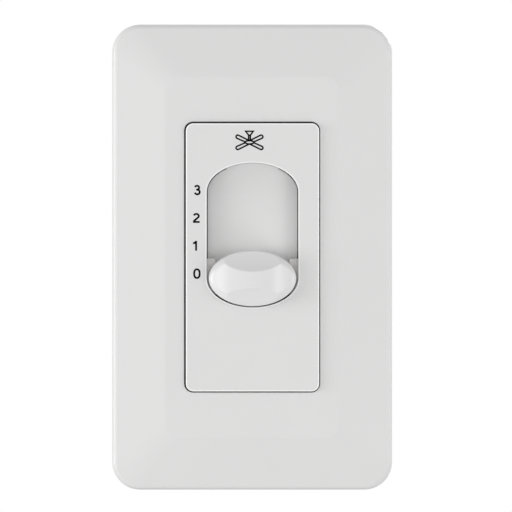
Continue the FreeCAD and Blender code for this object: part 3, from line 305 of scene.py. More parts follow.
def track_satin(colour, roughness):
    """Satin track with painted light near the knob's rest, fading to painted shade towards the
    window's upper end.
    """
    def build(graph):
        # painted light and shade: lighter low down near the knob, darker towards the window's
        # upper end
        tone = graph.smooth(
            graph.axis("Z"), knob_rest_z + 0.35 * knob_travel, knob_rest_z + 1.3 * knob_travel)
        inputs = satin_skin(graph, roughness, FINE_GRAIN, FINE_RELIEF, FINE_EDGE)
        inputs["Base Color"] = graph.mix(tone, rgba(colour, 1.08), rgba(colour, 0.95))
        return inputs
    return build


def moulded_satin(colour, roughness, grain, depth, edge=0.12 * MM):
    """Spark-textured moulding, a little cloudy."""
    def build(graph):
        cloud = graph.noise(9 * MM, detail=3.0)
        inputs = satin_skin(graph, roughness, grain, depth, edge)
        inputs["Base Color"] = graph.mix(cloud, rgba(colour, 0.96), rgba(colour, 1.03))
        return inputs
    return build


def plated_steel(colour, roughness, grain=(1.0, 1.0, 30.0)):
    """Zinc-plated steel: rolling lines along one axis, cloudy plating and small stains."""
    def build(graph):
        lines = graph.noise(0.12 * MM, detail=2.0, stretch=grain)
        cloud = graph.noise(3.5 * MM, detail=4.0)
        stain = graph.smooth(graph.noise(7 * MM, detail=5.0), 0.58, 0.75)
        plating = graph.mix(cloud, rgba(colour, 0.93), rgba(colour, 1.04))
        return {
            "Base Color": graph.mix(0.35 * stain, plating, rgba(colour, 0.72)),
            "Metallic": 1.0,
            "Roughness": roughness - 0.05 + 0.1 * lines + 0.12 * stain,
            "Normal": graph.bump(lines, 0.003 * MM, graph.worn_edge(0.12 * MM)),
        }
    return build


def stamped_brass(colour, roughness):
    """Rolled brass with a little tarnish."""
    def build(graph):
        lines = graph.noise(0.1 * MM, stretch=(1.0, 25.0, 1.0))
        tarnish = graph.smooth(graph.noise(2.2 * MM, detail=5.0), 0.45, 0.75)
        return {
            "Base Color": graph.mix(tarnish, rgba(colour), rgba((0.42, 0.27, 0.12))),
            "Metallic": 1.0,
            "Roughness": roughness + 0.06 * lines + 0.18 * tarnish,
            "Normal": graph.bump(lines, 0.002 * MM, graph.worn_edge(0.08 * MM)),
        }
    return build


def dyed_screw(colour):
    """Steel screw with a green dye over the plating, thin on the rims."""
    def build(graph):
        wear = graph.smooth(graph.noise(0.8 * MM, detail=4.0), 0.55, 0.72)
        grain = graph.noise(0.1 * MM)
        return {
            "Base Color": graph.mix(0.5 * wear, rgba(colour), rgba((0.35, 0.5, 0.36))),
            "Metallic": 0.85,
            "Roughness": 0.34 + 0.12 * grain,
            "Normal": graph.bump(grain, 0.002 * MM, graph.worn_edge(0.1 * MM)),
        }
    return build


def pressed_fibre(colour):
    """Vulcanised fibre: hard paper with short flecks."""
    def build(graph):
        flecks = graph.noise(0.15 * MM, detail=3.0, stretch=(4.0, 1.0, 1.0))
        return {
            "Base Color": graph.mix(flecks, rgba(colour, 0.7), rgba(colour, 1.25)),
            "Roughness": 0.62 + 0.15 * flecks,
            "Normal": graph.bump(flecks, 0.01 * MM),
        }
    return build


def bare_laminate(colour):
    """Resin-bonded board with the weave of its cloth showing."""
    def build(graph):
        weave = []
        for turned in (False, True):
            stretch = (1.0, 1.0, 8.0) if turned else (8.0, 1.0, 1.0)
            weave.append(graph.noise(0.3 * MM, detail=1.0, stretch=stretch))
        cloth = 0.5 * (weave[0] + weave[1])
        return {
            "Base Color": graph.mix(cloth, rgba(colour, 0.8), rgba(colour, 1.2)),
            "Roughness": 0.38 + 0.15 * cloth,
            "Normal": graph.bump(cloth, 0.006 * MM),
        }
    return build


def banded_lacquer(colour, length):
    """Lacquered resistor body along X, with rings of colour and tinned wires."""
    # place along the body as a share of its length, and colour
    rings = (
        (-0.3, (0.12, 0.03, 0.01)), (-0.12, (0.01, 0.01, 0.012)),
        (0.06, (0.55, 0.25, 0.02)), (0.3, (0.5, 0.33, 0.1)))

    def build(graph):
        along = graph.axis("X")
        paint = rgba(colour)
        for share, ring in rings:
            off = graph.math("ABSOLUTE", along - share * length)
            mask = graph.smooth(off, 0.05 * length, 0.055 * length, 1.0, 0.0)
            paint = graph.mix(mask, paint, rgba(ring))
        wire = graph.smooth(graph.math("ABSOLUTE", along), 0.5 * length, 0.505 * length)
        skin = graph.noise(0.3 * MM)
        return {
            "Base Color": graph.mix(wire, paint, rgba((0.7, 0.7, 0.68))),
            "Metallic": wire,
            "Roughness": 0.22 + 0.1 * skin,
            "Normal": graph.bump(skin, 0.004 * MM),
        }
    return build


def printed_ink(colour):
    """Pad-printed ink: near black and dull, a little uneven where the film is thin."""
    def build(graph):
        film = graph.noise(0.25 * MM, detail=3.0)
        return {
            "Base Color": graph.mix(film, rgba(colour, 0.8), rgba(colour, 1.5)),
            "Roughness": 0.6 + 0.12 * film,
            "Specular IOR Level": 0.12,
            "Normal": graph.bump(film, 0.002 * MM),
        }
    return build


# Mesh building

def finish_node(node, made):
    """Gives a CAD node its material."""
    surface = frame["nodes"][node].data
    surface.materials.clear()
    surface.materials.append(made)


def piece(name, mesh, made, body="base"):
    """Object from a bmesh, riding on a body of the frame."""
    data = bpy.data.meshes.new(name)
    bmesh.ops.recalc_face_normals(mesh, faces=mesh.faces)
    mesh.to_mesh(data)
    mesh.free()
    data.materials.append(made)
    obj = bpy.data.objects.new(name, data)
    bpy.context.scene.collection.objects.link(obj)
    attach(obj, body)
    return obj


def arc(x, z, radius_x, radius_z, start, end, steps=14):
    """Points along an ellipse between two angles in degrees. Zero is right and 90 is up."""
    points = []
    for step in range(steps + 1):
        turn = math.radians(start + (end - start) * step / steps)
        points.append((x + radius_x * math.cos(turn), z + radius_z * math.sin(turn)))
    return points


def stroke(mesh, line, width, front, back, closed=False):
    """Adds a flat printed stroke along a line of (x, z) points, between two depths."""
    count = len(line)
    rings = []
    for index, (x, z) in enumerate(line):
        before = line[index - 1] if index or closed else line[index]
        after = line[(index + 1) % count] if index < count - 1 or closed else line[index]
        incoming = Vector((x - before[0], z - before[1]))
        outgoing = Vector((after[0] - x, after[1] - z))
        incoming = incoming.normalized() if incoming.length else outgoing.normalized()
        outgoing = outgoing.normalized() if outgoing.length else incoming
        along = (incoming + outgoing).normalized()
        half = width / 2 / max(0.5, along.dot(incoming))
        side = Vector((-along.y, along.x)) * half
        rings.append([
            mesh.verts.new((x + way * side.x, y, z + way * side.y))
            for way, y in ((1, front), (-1, front), (-1, back), (1, back))
        ])
    for index in range(count if closed else count - 1):
        near, far = rings[index], rings[(index + 1) % count]
        for corner in range(4):
            following = (corner + 1) % 4
            mesh.faces.new((near[corner], near[following], far[following], far[corner]))
    if not closed:
        mesh.faces.new(rings[0])
        mesh.faces.new(rings[-1][::-1])


def digit_lines(digit, width, height):
    """Centre lines of a plain digit about its middle, as (points, closed) pairs."""
    across, up = width / 2, height / 2
    if digit == 0:
        fullness = 0.85  # 1 for an ellipse, less for fuller shoulders
        outline = []
        for cosine, sine in arc(0, 0, 1, 1, 0, 350, steps=35):
            outline.append((
                across * math.copysign(abs(cosine) ** fullness, cosine),
                up * math.copysign(abs(sine) ** fullness, sine)))
        return [(outline, True)]
    if digit == 1:
        stem = -0.3 * across
        flag = [(-1.42 * across, 0.56 * up), (-0.8 * across, 0.66 * up), (stem, 1.06 * up)]
        return [([(stem, -1.14 * up), (stem, 1.14 * up)], False), (flag, False)]
    if digit == 2:
        bowl = arc(-0.2 * across, 0.45 * up, 0.88 * across, 0.48 * up, 168, -42)
        foot = (-1.2 * across, -0.78 * up)
        return [
            (bowl + [foot], False),
            ([(-1.44 * across, -0.93 * up), (1.0 * across, -0.93 * up)], False),
        ]
    upper = arc(0.05 * across, 0.55 * up, 0.76 * across, 0.45 * up, 164, -90)
    lower = arc(0.12 * across, -0.45 * up, 0.9 * across, 0.55 * up, 90, -164)
    return [(upper + [(-0.28 * across, 0.1 * up)], False), (lower, False)]


def lathe(mesh, profile, steps=40):
    """Adds a body turned about the Z axis from (radius, height) pairs, closed at both ends."""
    rings = []
    for radius, height in profile:
        rings.append([
            mesh.verts.new((radius * math.cos(turn), radius * math.sin(turn), height))
            for turn in (2 * math.pi * step / steps for step in range(steps))
        ])
    for low, high in zip(rings, rings[1:]):
        for step in range(steps):
            following = (step + 1) % steps
            mesh.faces.new((low[step], low[following], high[following], high[step]))
    mesh.faces.new(rings[0][::-1])
    mesh.faces.new(rings[-1])


def helix(mesh, radius, root, start, end, pitch, steps=28):
    """Adds a threaded shank along Z. Its rows follow the helix, so the crests stay sharp."""
    levels = ((0.0, root), (0.1, root), (0.42, radius), (0.58, radius), (0.9, root))
    turns = math.ceil((end - start) / pitch) + 1
    fade = 1.2 * pitch
    columns = []
    for step in range(steps):
        share = step / steps
        column = []
        for row in range(-1, turns):
            for rise, level in levels:
                height = start + (row + rise + share) * pitch
                height = min(max(height, start), end)
                inside = min(1.0, (height - start) / fade, (end - height) / fade)
                reach = root + (level - root) * inside
                turn = 2 * math.pi * share
                column.append(mesh.verts.new(
                    (reach * math.cos(turn), reach * math.sin(turn), height)))
        columns.append(column)
    per_turn = len(levels)
    length = len(columns[0])
    for step in range(steps):
        near = columns[step]
        wrapped = step == steps - 1
        far = columns[0] if wrapped else columns[step + 1]
        shift = per_turn if wrapped else 0
        for row in range(length - 1 - shift):
            mesh.faces.new((
                near[row], near[row + 1], far[row + 1 + shift], far[row + shift]))
    bmesh.ops.remove_doubles(mesh, verts=mesh.verts, dist=1e-7)
    bmesh.ops.dissolve_degenerate(mesh, dist=1e-7, edges=mesh.edges)
    bmesh.ops.holes_fill(mesh, edges=mesh.edges, sides=0)


def cut_slot(mesh, width, depth, top, reach):
    """Sinks a screwdriver slot along X into a head whose top is at a height along Z."""
    data = bpy.data.meshes.new("head")
    mesh.to_mesh(data)
    mesh.free()
    head = bpy.data.objects.new("head", data)
    cutter_mesh = bmesh.new()
    bmesh.ops.create_cube(
        cutter_mesh, size=1.0,
        matrix=Matrix.Translation((0, 0, top)) @ Matrix.Diagonal((2 * reach, width, 2 * depth, 1)))
    cutter_data = bpy.data.meshes.new("cutter")
    cutter_mesh.to_mesh(cutter_data)
    cutter_mesh.free()
    cutter = bpy.data.objects.new("cutter", cutter_data)
    for obj in (head, cutter):
        bpy.context.scene.collection.objects.link(obj)
    modifier = head.modifiers.new("slot", "BOOLEAN")
    modifier.object = cutter
    modifier.solver = "EXACT"
    bpy.context.view_layer.update()
    shaped = bpy.data.meshes.new_from_object(
        head.evaluated_get(bpy.context.evaluated_depsgraph_get()))
    cut = bmesh.new()
    cut.from_mesh(shaped)
    for obj in (head, cutter):
        bpy.data.objects.remove(obj)
    return cut


def screw(name, seat, direction, head, thread, pitch, slot_size, made):
    """Slotted screw whose head stands on its seat. The thread runs along the direction."""
    head_radius, head_height, flat = head
    radius, root, start, end = thread
    if flat:
        rim_height = 0.12 * MM
        profile = [(radius, head_height), (head_radius, rim_height), (head_radius, 0.0)]
        top, neck_start = 0.0, 0.6 * head_height
    else:
        ease = 0.45 * head_height
        profile = [(head_radius, 0.0)]
        profile += arc(head_radius - ease, ease - head_height, ease, -ease, 0, 90, steps=7)
        top, neck_start = -head_height, 0.0
    turned = bmesh.new()
    lathe(turned, profile[::-1])
    slot_width, slot_depth = slot_size
    whole = cut_slot(turned, slot_width, slot_depth, top, 1.2 * head_radius)
    neck = bmesh.new()
    lathe(neck, [(root, neck_start), (root, start + pitch)])
    thread_mesh = bmesh.new()
    helix(thread_mesh, radius, root, start, end, pitch)
    for part in (neck, thread_mesh):
        data = bpy.data.meshes.new("shank")
        part.to_mesh(data)
        part.free()
        whole.from_mesh(data)
        bpy.data.meshes.remove(data)
    turn = Vector((0, 0, 1)).rotation_difference(Vector(direction)).to_matrix().to_4x4()
    bmesh.ops.transform(whole, matrix=Matrix.Translation(seat) @ turn, verts=whole.verts)
    obj = piece(name, whole, made)
    shade_by_angle(obj)
    return obj


def shade_by_angle(obj, crisp_degrees=35):
    """Smooth shading, with edges sharper than the angle kept crisp."""
    for face in obj.data.polygons:
        face.use_smooth = True
    obj.data.set_sharp_from_angle(angle=math.radians(crisp_degrees))


# Properties

class FanControlSizes(bpy.types.PropertyGroup):
    insert_width: bpy.props.FloatProperty(
        name="Insert width", description="Width of the insert's face",
        default=33.25 * MM, unit="LENGTH")
    insert_height: bpy.props.FloatProperty(
        name="Insert height", description="Height of the insert's face",
        default=66.9 * MM, unit="LENGTH")
    insert_corner: bpy.props.FloatProperty(
        name="Insert corner", description="Radius of the corners of the insert's face",
        default=1.9 * MM, unit="LENGTH")
    window_width: bpy.props.FloatProperty(
        name="Window width", description="Width of the insert's window",
        default=22.8 * MM, unit="LENGTH")
    window_straight: bpy.props.FloatProperty(
        name="Window straight part", description="Length of the window between its oval ends",
        default=21.53 * MM, unit="LENGTH")
    window_end: bpy.props.FloatProperty(
        name="Window end", description="Height of the window's oval ends",
        default=7.24 * MM, unit="LENGTH")
    digit_height: bpy.props.FloatProperty(
        name="Digit height", description="Height of the printed digits",
        default=2.63 * MM, unit="LENGTH")
    digit_width: bpy.props.FloatProperty(
        name="Digit width", description="Width of the digit 0",
        default=1.85 * MM, unit="LENGTH")
    digit_stroke: bpy.props.FloatProperty(
        name="Digit stroke", description="Width of the strokes of the digits",
        default=0.48 * MM, unit="LENGTH")
    digit_x: bpy.props.FloatProperty(
        name="Digit place", description="Middle of the digits from the middle of the control",
        default=-13.87 * MM, unit="LENGTH")
    digit_rise: bpy.props.FloatProperty(
        name="Digit rise", description="From the knob's middle at a position up to its digit",
        default=1.15 * MM, unit="LENGTH")
    sign_x: bpy.props.FloatProperty(
        name="Fan sign place across", description="Middle of the fan sign's hub",
        default=-0.756 * MM, unit="LENGTH")
    sign_z: bpy.props.FloatProperty(
        name="Fan sign place up", description="Middle of the fan sign's hub",
        default=28.69 * MM, unit="LENGTH")
    sign_reach: bpy.props.FloatProperty(
        name="Blade reach", description="From the hub to the middle of a blade's round end",
        default=3.24 * MM, unit="LENGTH")
    sign_stroke: bpy.props.FloatProperty(
        name="Fan sign stroke", description="Width of the fan sign's lines",
        default=0.4 * MM, unit="LENGTH")
    ink_film: bpy.props.FloatProperty(
        name="Ink film", description="How proud the print stands",
        default=0.02 * MM, unit="LENGTH")
    device_pitch: bpy.props.FloatProperty(
        name="Device thread pitch", description="Pitch of the box, plate and terminal screws",
        default=0.794 * MM, unit="LENGTH")
    thread_depth: bpy.props.FloatProperty(
        name="Thread depth", description="Depth of the device threads",
        default=0.36 * MM, unit="LENGTH")
    device_radius: bpy.props.FloatProperty(
        name="Device screw radius", description="Outer radius of the box and plate screws' thread",
        default=1.75 * MM, unit="LENGTH")
    plate_head_height: bpy.props.FloatProperty(
        name="Plate screw head", description="Height of the plate screws' flat head",
        default=1.21 * MM, unit="LENGTH")
    terminal_radius: bpy.props.FloatProperty(
        name="Side screw radius", description="Outer radius of the terminal and earth threads",
        default=1.9 * MM, unit="LENGTH")
    terminal_head_height: bpy.props.FloatProperty(
        name="Side screw head", description="Height of the terminal and earth screws' heads",
        default=2.0 * MM, unit="LENGTH")
    driver_slot: bpy.props.FloatProperty(
        name="Driver slot", description="Width of the screwdriver slots",
        default=0.9 * MM, unit="LENGTH")
    driver_depth: bpy.props.FloatProperty(
        name="Driver slot depth", description="Depth of the screwdriver slots",
        default=0.7 * MM, unit="LENGTH")


def colour(label, value):
    """Colour property with its default."""
    return bpy.props.FloatVectorProperty(
        name=label, description=f"Colour of the {label.lower()}", subtype="COLOR", size=3,
        min=0.0, max=1.0, default=value)


class FanControlColours(bpy.types.PropertyGroup):
    plate: colour("Cover plate", (0.745, 0.745, 0.742))
    insert: colour("Insert", (0.745, 0.745, 0.742))
    knob: colour("Knob", (0.76, 0.76, 0.76))
    track: colour("Track", (0.775, 0.775, 0.772))
    saddle: colour("Saddle", (0.79, 0.765, 0.76))
    frame: colour("Inner frame", (0.7, 0.7, 0.68))
    ink: colour("Ink", (0.004, 0.004, 0.0045))
    steel: colour("Strap", (0.66, 0.67, 0.68))
    zinc: colour("Zinc screws", (0.62, 0.62, 0.61))
    fibre: colour("Screw keepers", (0.32, 0.05, 0.03))
    earth: colour("Earth screw", (0.04, 0.28, 0.1))
    carrier: colour("Contact carrier", (0.05, 0.05, 0.055))
    base: colour("Switch base", (0.025, 0.024, 0.026))
    brass: colour("Contacts", (0.72, 0.5, 0.22))
    terminal: colour("Terminal screws", (0.76, 0.56, 0.27))
    spring: colour("Detent spring", (0.58, 0.58, 0.6))
    board: colour("Circuit board", (0.3, 0.2, 0.08))
    capacitor: colour("Capacitors", (0.06, 0.08, 0.13))
    resistor: colour("Resistors", (0.55, 0.4, 0.24))
    housing: colour("Rear housing", (0.022, 0.022, 0.024))


# Operators

class FANCONTROL_OT_cover_plate(bpy.types.Operator):
    """Finish the cover plate as a polished moulding"""
    bl_idname = "fan_control.cover_plate"
    bl_label = "Cover plate"

    def execute(self, context):
        sizes = context.scene.fan_control_sizes
        colours = context.scene.fan_control_colours
        finish_node("wall_plate", material(
            "plate_gloss", plate_gloss(colours.plate, roughness=0.33, sizes=sizes)))
        return {"FINISHED"}


class FANCONTROL_OT_insert(bpy.types.Operator):
    """Finish the raised insert and the track behind its window"""
    bl_idname = "fan_control.insert"
    bl_label = "Insert and track"

    def execute(self, context):
        sizes = context.scene.fan_control_sizes
        colours = context.scene.fan_control_colours
        finish_node("bezel", material(
            "insert_gloss", insert_gloss(colours.insert, roughness=0.33, sizes=sizes)))
        finish_node("slot_track", material(
            "track_satin", track_satin(colours.track, roughness=0.5)))
        return {"FINISHED"}


class FANCONTROL_OT_knob(bpy.types.Operator):
    """Finish the knob and the saddle whose shoulders show beside it"""
    bl_idname = "fan_control.knob"
    bl_label = "Knob and saddle"

    def execute(self, context):
        colours = context.scene.fan_control_colours
        finish_node("knob", material("knob_gloss", knob_gloss(colours.knob, roughness=0.24)))
        finish_node("slider_saddle", material("saddle_satin", moulded_satin(
            colours.saddle, roughness=0.5, grain=FINE_GRAIN, depth=FINE_RELIEF, edge=FINE_EDGE)))
        return {"FINISHED"}


class FANCONTROL_OT_scale(bpy.types.Operator):
    """Print the digits of the four positions beside the window"""
    bl_idname = "fan_control.scale"
    bl_label = "Position digits"

    def execute(self, context):
        sizes = context.scene.fan_control_sizes
        ink = material("scale_ink", printed_ink(context.scene.fan_control_colours.ink))
        width = sizes.digit_width - sizes.digit_stroke
        height = sizes.digit_height - sizes.digit_stroke
        for digit in range(4):
            mesh = bmesh.new()
            middle_z = knob_rest_z + digit * knob_travel / 3 + sizes.digit_rise
            for line, closed in digit_lines(digit, width, height):
                placed = [(x + sizes.digit_x, z + middle_z) for x, z in line]
                stroke(mesh, placed, sizes.digit_stroke, face_y - sizes.ink_film,
                       face_y + sizes.ink_film, closed)
            piece(f"digit_{digit}", mesh, ink)
        return {"FINISHED"}


class FANCONTROL_OT_sign(bpy.types.Operator):
    """Print the outline of a ceiling fan above the window"""
    bl_idname = "fan_control.sign"
    bl_label = "Fan sign"

    def execute(self, context):
        sizes = context.scene.fan_control_sizes
        ink = material("sign_ink", printed_ink(context.scene.fan_control_colours.ink))
        reach = sizes.sign_reach
        hub_x, hub_z = 0.335 * reach, 0.127 * reach
        lines = [(arc(0, 0, hub_x, hub_z, 0, 348, steps=29), True)]
        lines += self.blades(reach)
        rod_x, canopy_x = 0.068 * reach, 0.29 * reach
        canopy_low, canopy_high = 0.545 * reach, 0.85 * reach
        for side in (-1, 1):
            lines.append(([(side * rod_x, hub_z), (side * rod_x, canopy_low)], False))
        lines.append((
            [(-rod_x, canopy_low), (rod_x, canopy_low), (canopy_x, canopy_high),
             (-canopy_x, canopy_high)], True))
        mesh = bmesh.new()
        for line, closed in lines:
            placed = [(x + sizes.sign_x, z + sizes.sign_z) for x, z in line]
            stroke(mesh, placed, sizes.sign_stroke, face_y - sizes.ink_film,
                   face_y + sizes.ink_film, closed)
        piece("fan_sign", mesh, ink)
        return {"FINISHED"}

    def blades(self, reach):
        """Outlines of the four blades, open towards the hub."""
        tip, half_width = 0.13 * reach, 0.112 * reach
        slant_x, slant_z = 0.904, 0.427
        # a blade's side near the rod's line starts closer to the hub's middle than the other
        outer_start, upper_start, lower_start = 0.31 * reach, 0.12 * reach, 0.06 * reach
        outlines = []
        for way in (-1, 1):
            for rise in (-1, 1):
                inner_start = upper_start if rise > 0 else lower_start
                starts = (outer_start, inner_start)
                under, over = starts if way * rise > 0 else starts[::-1]
                blade = [(under, -half_width)]
                blade += arc(reach, 0, tip, tip, -90, 90)
                blade += [(over, half_width)]
                turn = math.atan2(slant_z * rise, slant_x * way)
                cosine, sine = math.cos(turn), math.sin(turn)
                outlines.append((
                    [(x * cosine - z * sine, x * sine + z * cosine) for x, z in blade], False))
        return outlines


class FANCONTROL_OT_strap(bpy.types.Operator):
    """Finish the steel strap, the inner frame and the screw keepers"""
    bl_idname = "fan_control.strap"
    bl_label = "Strap and inner frame"

    def execute(self, context):
        colours = context.scene.fan_control_colours
        finish_node("mounting_strap", material(
            "strap_zinc", plated_steel(colours.steel, roughness=0.36)))
        finish_node("sub_plate", material("frame_satin", moulded_satin(
            colours.frame, roughness=0.5, grain=0.15 * MM, depth=0.004 * MM)))
        finish_node("screw_keepers", material("keeper_fibre", pressed_fibre(colours.fibre)))
        return {"FINISHED"}


class FANCONTROL_OT_device_screws(bpy.types.Operator):
    """Build the threaded box screws and plate screws"""
    bl_idname = "fan_control.device_screws"
    bl_label = "Box and plate screws"

    def execute(self, context):
        sizes = context.scene.fan_control_sizes
        zinc = material("screw_zinc", plated_steel(
            context.scene.fan_control_colours.zinc, roughness=0.3, grain=EVEN_GRAIN))
        slot_size = (sizes.driver_slot, sizes.driver_depth)
        strap_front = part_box("mounting_strap")[0].y
        for node, name in (("box_screws", "box_screw"), ("plate_screws", "plate_screw")):
            low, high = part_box(node)
            head_radius = high.x
            spacing = high.z - head_radius
            flat = node == "plate_screws"
            seat_y = low.y if flat else strap_front
            head_height = sizes.plate_head_height if flat else strap_front - low.y
            radius = sizes.device_radius
            start = head_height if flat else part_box("screw_keepers")[1].y - strap_front
            for end, label in ((-1, "lower"), (1, "upper")):
                made = screw(
                    f"{name}_{label}", (0, seat_y, end * spacing), (0, 1, 0),
                    (head_radius, head_height, flat),
                    (radius, radius - sizes.thread_depth, start, high.y - seat_y),
                    sizes.device_pitch, slot_size, zinc)
                if end > 0:
                    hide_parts(node)
        return {"FINISHED"}


class FANCONTROL_OT_terminals(bpy.types.Operator):
    """Build the threaded terminal and earth screws and finish their plates"""
    bl_idname = "fan_control.terminals"
    bl_label = "Terminals"

    def execute(self, context):
        sizes = context.scene.fan_control_sizes
        colours = context.scene.fan_control_colours
        finish_node("terminal_plates", material(
            "plate_brass", stamped_brass(colours.brass, roughness=0.3)))
        finish_node("terminal_clamps", material(
            "clamp_zinc", plated_steel(colours.zinc, roughness=0.34)))
        turned = material("terminal_brass", stamped_brass(colours.terminal, roughness=0.24))
        dyed = material("earth_green", dyed_screw(colours.earth))
        slot_size = (sizes.driver_slot, sizes.driver_depth)
        radius, head_height = sizes.terminal_radius, sizes.terminal_head_height
        for node, name, side, made, slot in (
                ("terminal_screws", "terminal_screw", 1, turned, "terminal_brass"),
                ("ground_screw", "earth_screw", -1, dyed, "earth_green")):
            low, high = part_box(node)
            head_radius = (high.y - low.y) / 2
            middle_y = (low.y + high.y) / 2
            tip_x, rim_x = (low.x, high.x) if side > 0 else (high.x, low.x)
            seat_x = rim_x - side * head_height
            if side > 0:
                places = [(high.z - head_radius, "upper"), (low.z + head_radius, "lower")]
            else:
                places = [((low.z + high.z) / 2, "tab")]
            for index, (z, label) in enumerate(places):
                built = screw(
                    f"{name}_{label}", (seat_x, middle_y, z), (-side, 0, 0),
                    (head_radius, head_height, False),
                    (radius, radius - sizes.thread_depth, 0.0, abs(tip_x - seat_x)),
                    sizes.device_pitch, slot_size, made)
                if index == 0:
                    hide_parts(node)
        return {"FINISHED"}


class FANCONTROL_OT_switch(bpy.types.Operator):
    """Finish the switch base, its contacts and the sliding carrier"""
    bl_idname = "fan_control.switch"
    bl_label = "Switch"

    def execute(self, context):
        colours = context.scene.fan_control_colours
        brass = material("contact_brass", stamped_brass(colours.brass, roughness=0.26))
        for node in ("fixed_contacts", "common_rail", "wiper_contact"):
            finish_node(node, brass)
        finish_node("detent_spring", material(
            "spring_steel", plated_steel(colours.spring, roughness=0.26, grain=(30.0, 1.0, 1.0))))
        finish_node("contact_carrier", material("carrier_acetal", moulded_satin(
            colours.carrier, roughness=0.42, grain=0.2 * MM, depth=0.003 * MM)))
        finish_node("switch_base", material("base_thermoset", moulded_satin(
            colours.base, roughness=0.58, grain=0.1 * MM, depth=0.006 * MM)))
        return {"FINISHED"}


class FANCONTROL_OT_board(bpy.types.Operator):
    """Finish the circuit board, capacitors and resistors"""
    bl_idname = "fan_control.board"
    bl_label = "Board and components"

    def execute(self, context):
        colours = context.scene.fan_control_colours
        finish_node("circuit_board", material("board_laminate", bare_laminate(colours.board)))
        case = material("capacitor_case", moulded_satin(
            colours.capacitor, roughness=0.45, grain=0.15 * MM, depth=0.004 * MM))
        finish_node("capacitor_large", case)
        finish_node("capacitor_small", case)
        low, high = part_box("bleed_resistors")
        body_share = 0.62
        finish_node("bleed_resistors", material(
            "resistor_lacquer", banded_lacquer(colours.resistor, body_share * (high.x - low.x))))
        return {"FINISHED"}


class FANCONTROL_OT_housing(bpy.types.Operator):
    """Finish the rear housing and its long screws"""
    bl_idname = "fan_control.housing"
    bl_label = "Rear housing"

    def execute(self, context):
        colours = context.scene.fan_control_colours
        finish_node("rear_housing", material("housing_texture", moulded_satin(
            colours.housing, roughness=0.5, grain=0.22 * MM, depth=0.012 * MM, edge=0.2 * MM)))
        finish_node("housing_screws", material(
            "housing_screw_zinc", plated_steel(colours.zinc, roughness=0.32, grain=EVEN_GRAIN)))
        return {"FINISHED"}


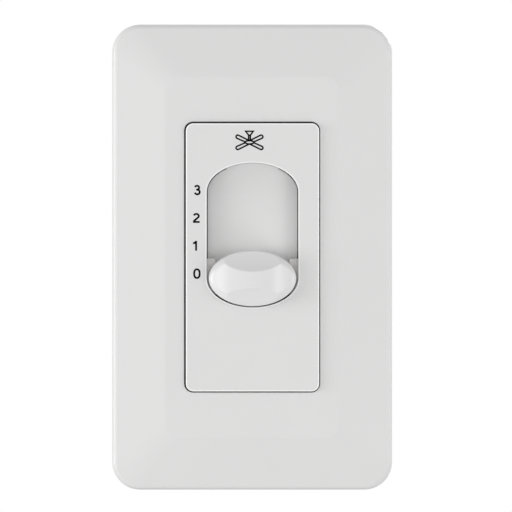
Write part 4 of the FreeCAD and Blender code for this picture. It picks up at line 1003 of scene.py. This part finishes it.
class FANCONTROL_OT_stage(bpy.types.Operator):
    """Set up the pale floor, the white surround, soft lamps and the camera"""
    bl_idname = "fan_control.stage"
    bl_label = "Stage"

    floor_z: bpy.props.FloatProperty(
        name="Floor height", description="Height of the floor", default=-1.3, unit="LENGTH")
    floor_reach: bpy.props.FloatProperty(
        name="Floor reach", description="Half the side of the floor", default=7.0, unit="LENGTH")
    surround: bpy.props.FloatProperty(
        name="Surround light", description="Strength of the light from all round", default=0.566)
    mirrored_surround: bpy.props.FloatProperty(
        name="Mirrored surround", description="Strength of the surround as reflections show it",
        default=0.8)
    lamp_distance: bpy.props.FloatProperty(
        name="Lamp distance", description="From the middle of the control to the lamps",
        default=1.5, unit="LENGTH")
    camera_distance: bpy.props.FloatProperty(
        name="Camera distance", description="From the camera to the face", default=4.0,
        unit="LENGTH")
    view_width: bpy.props.FloatProperty(
        name="View width", description="Width of the view at the face", default=0.1277,
        unit="LENGTH")
    aim_x: bpy.props.FloatProperty(
        name="Aim across", description="Place that the camera looks at", default=0.00087,
        unit="LENGTH")
    aim_z: bpy.props.FloatProperty(
        name="Aim up", description="Place that the camera looks at", default=0.000335,
        unit="LENGTH")

    def execute(self, context):
        scene = context.scene
        scene.view_settings.view_transform = "Standard"
        self.lay_floor()
        self.light_surround(scene)
        # name, degrees round from the front and up, side in metres, watts, seen in reflections
        for name, turn, rise, size, power, mirrored in (
                ("left_edge_lamp", -85, 0, 0.6, 5.8, True),
                ("left_lamp", -65, 0, 0.6, 4.7, False),
                ("left_front_lamp", -47, 0, 0.4, 1.7, True),
                ("right_edge_lamp", 85, 0, 0.6, 2.6, True),
                ("right_lamp", 55, 0, 0.6, 1.7, False),
                ("right_front_lamp", 38, 0, 0.35, 1.5, True),
                ("low_lamp", 45, -35, 0.6, 2.2, False),
                ("front_lamp", 0, 0, 1.2, 1.9, True),
                ("back_lamp", 155, 25, 0.8, 7.0, True)):
            lamp = self.hang_lamp(name, math.radians(turn), math.radians(rise), size, power)
            lamp.visible_glossy = mirrored
        data = bpy.data.cameras.new("camera")
        data.lens = data.sensor_width * self.camera_distance / self.view_width
        camera = bpy.data.objects.new("camera", data)
        camera.location = (self.aim_x, face_y - self.camera_distance, self.aim_z)
        camera.rotation_euler = (math.pi / 2, 0, 0)
        scene.collection.objects.link(camera)
        scene.camera = camera
        return {"FINISHED"}

    def lay_floor(self):
        """Wide pale floor below the control."""
        mesh = bmesh.new()
        bmesh.ops.create_grid(mesh, x_segments=1, y_segments=1, size=self.floor_reach)
        bmesh.ops.translate(mesh, vec=(0, 0, self.floor_z), verts=mesh.verts)
        data = bpy.data.meshes.new("floor")
        mesh.to_mesh(data)
        mesh.free()

        def build(graph):
            tone = graph.noise(0.4, detail=2.0)
            return {
                "Base Color": graph.mix(tone, rgba((0.8, 0.8, 0.8)), rgba((0.82, 0.82, 0.82))),
                "Roughness": 0.7,
            }
        data.materials.append(material("floor_paper", build))
        floor = bpy.data.objects.new("floor", data)
        bpy.context.scene.collection.objects.link(floor)

    def light_surround(self, scene):
        """World that lights from all round and is white to the camera."""
        world = bpy.data.worlds.new("surround")
        world.use_nodes = True
        graph = Graph(world.node_tree)
        seen = graph.node("ShaderNodeLightPath", output="Is Camera Ray")
        mirrored = graph.node("ShaderNodeLightPath", output="Is Glossy Ray")
        through = graph.node("ShaderNodeLightPath", output="Is Transmission Ray")
        white = seen + through
        shader = graph.node("ShaderNodeBackground", inputs={
            "Color": rgba((1.0, 1.0, 1.0)),
            "Strength": self.surround + (1.0 - self.surround) * white
            + (self.mirrored_surround - self.surround) * mirrored,
        })
        graph.node("ShaderNodeOutputWorld", inputs={"Surface": shader})
        scene.world = world

    def hang_lamp(self, name, turn, rise, size, power):
        """Square lamp facing the control, turned round it and raised by angles in radians."""
        data = bpy.data.lights.new(name, "AREA")
        data.shape = "SQUARE"
        data.size = size
        data.energy = power
        lamp = bpy.data.objects.new(name, data)
        lamp.visible_camera = False
        toward = Vector((
            math.sin(turn) * math.cos(rise), -math.cos(turn) * math.cos(rise), math.sin(rise)))
        lamp.location = toward * self.lamp_distance
        lamp.rotation_euler = toward.to_track_quat("Z", "Y").to_euler()
        bpy.context.scene.collection.objects.link(lamp)
        return lamp


STEPS = (
    FANCONTROL_OT_cover_plate,
    FANCONTROL_OT_insert,
    FANCONTROL_OT_knob,
    FANCONTROL_OT_scale,
    FANCONTROL_OT_sign,
    FANCONTROL_OT_strap,
    FANCONTROL_OT_device_screws,
    FANCONTROL_OT_terminals,
    FANCONTROL_OT_switch,
    FANCONTROL_OT_board,
    FANCONTROL_OT_housing,
    FANCONTROL_OT_stage,
)


class FANCONTROL_PT_sidebar(bpy.types.Panel):
    """Sizes, colours and building steps of the fan control"""
    bl_idname = "FANCONTROL_PT_sidebar"
    bl_label = "Fan Control"
    bl_space_type = "VIEW_3D"
    bl_region_type = "UI"
    bl_category = "Fan Control"

    def draw(self, context):
        layout = self.layout
        for group in (context.scene.fan_control_sizes, context.scene.fan_control_colours):
            box = layout.box()
            for name in group.bl_rna.properties.keys():
                if name not in ("rna_type", "name"):
                    box.prop(group, name)
        for step in STEPS:
            layout.operator(step.bl_idname)


CLASSES = (FanControlSizes, FanControlColours) + STEPS + (FANCONTROL_PT_sidebar,)


def register():
    for cls in CLASSES:
        bpy.utils.register_class(cls)
    bpy.types.Scene.fan_control_sizes = bpy.props.PointerProperty(type=FanControlSizes)
    bpy.types.Scene.fan_control_colours = bpy.props.PointerProperty(type=FanControlColours)


def unregister():
    del bpy.types.Scene.fan_control_colours
    del bpy.types.Scene.fan_control_sizes
    for cls in reversed(CLASSES):
        bpy.utils.unregister_class(cls)


def main():
    register()
    for step in STEPS:
        group, name = step.bl_idname.split(".")
        getattr(getattr(bpy.ops, group), name)()


if __name__ == "__main__":
    main()
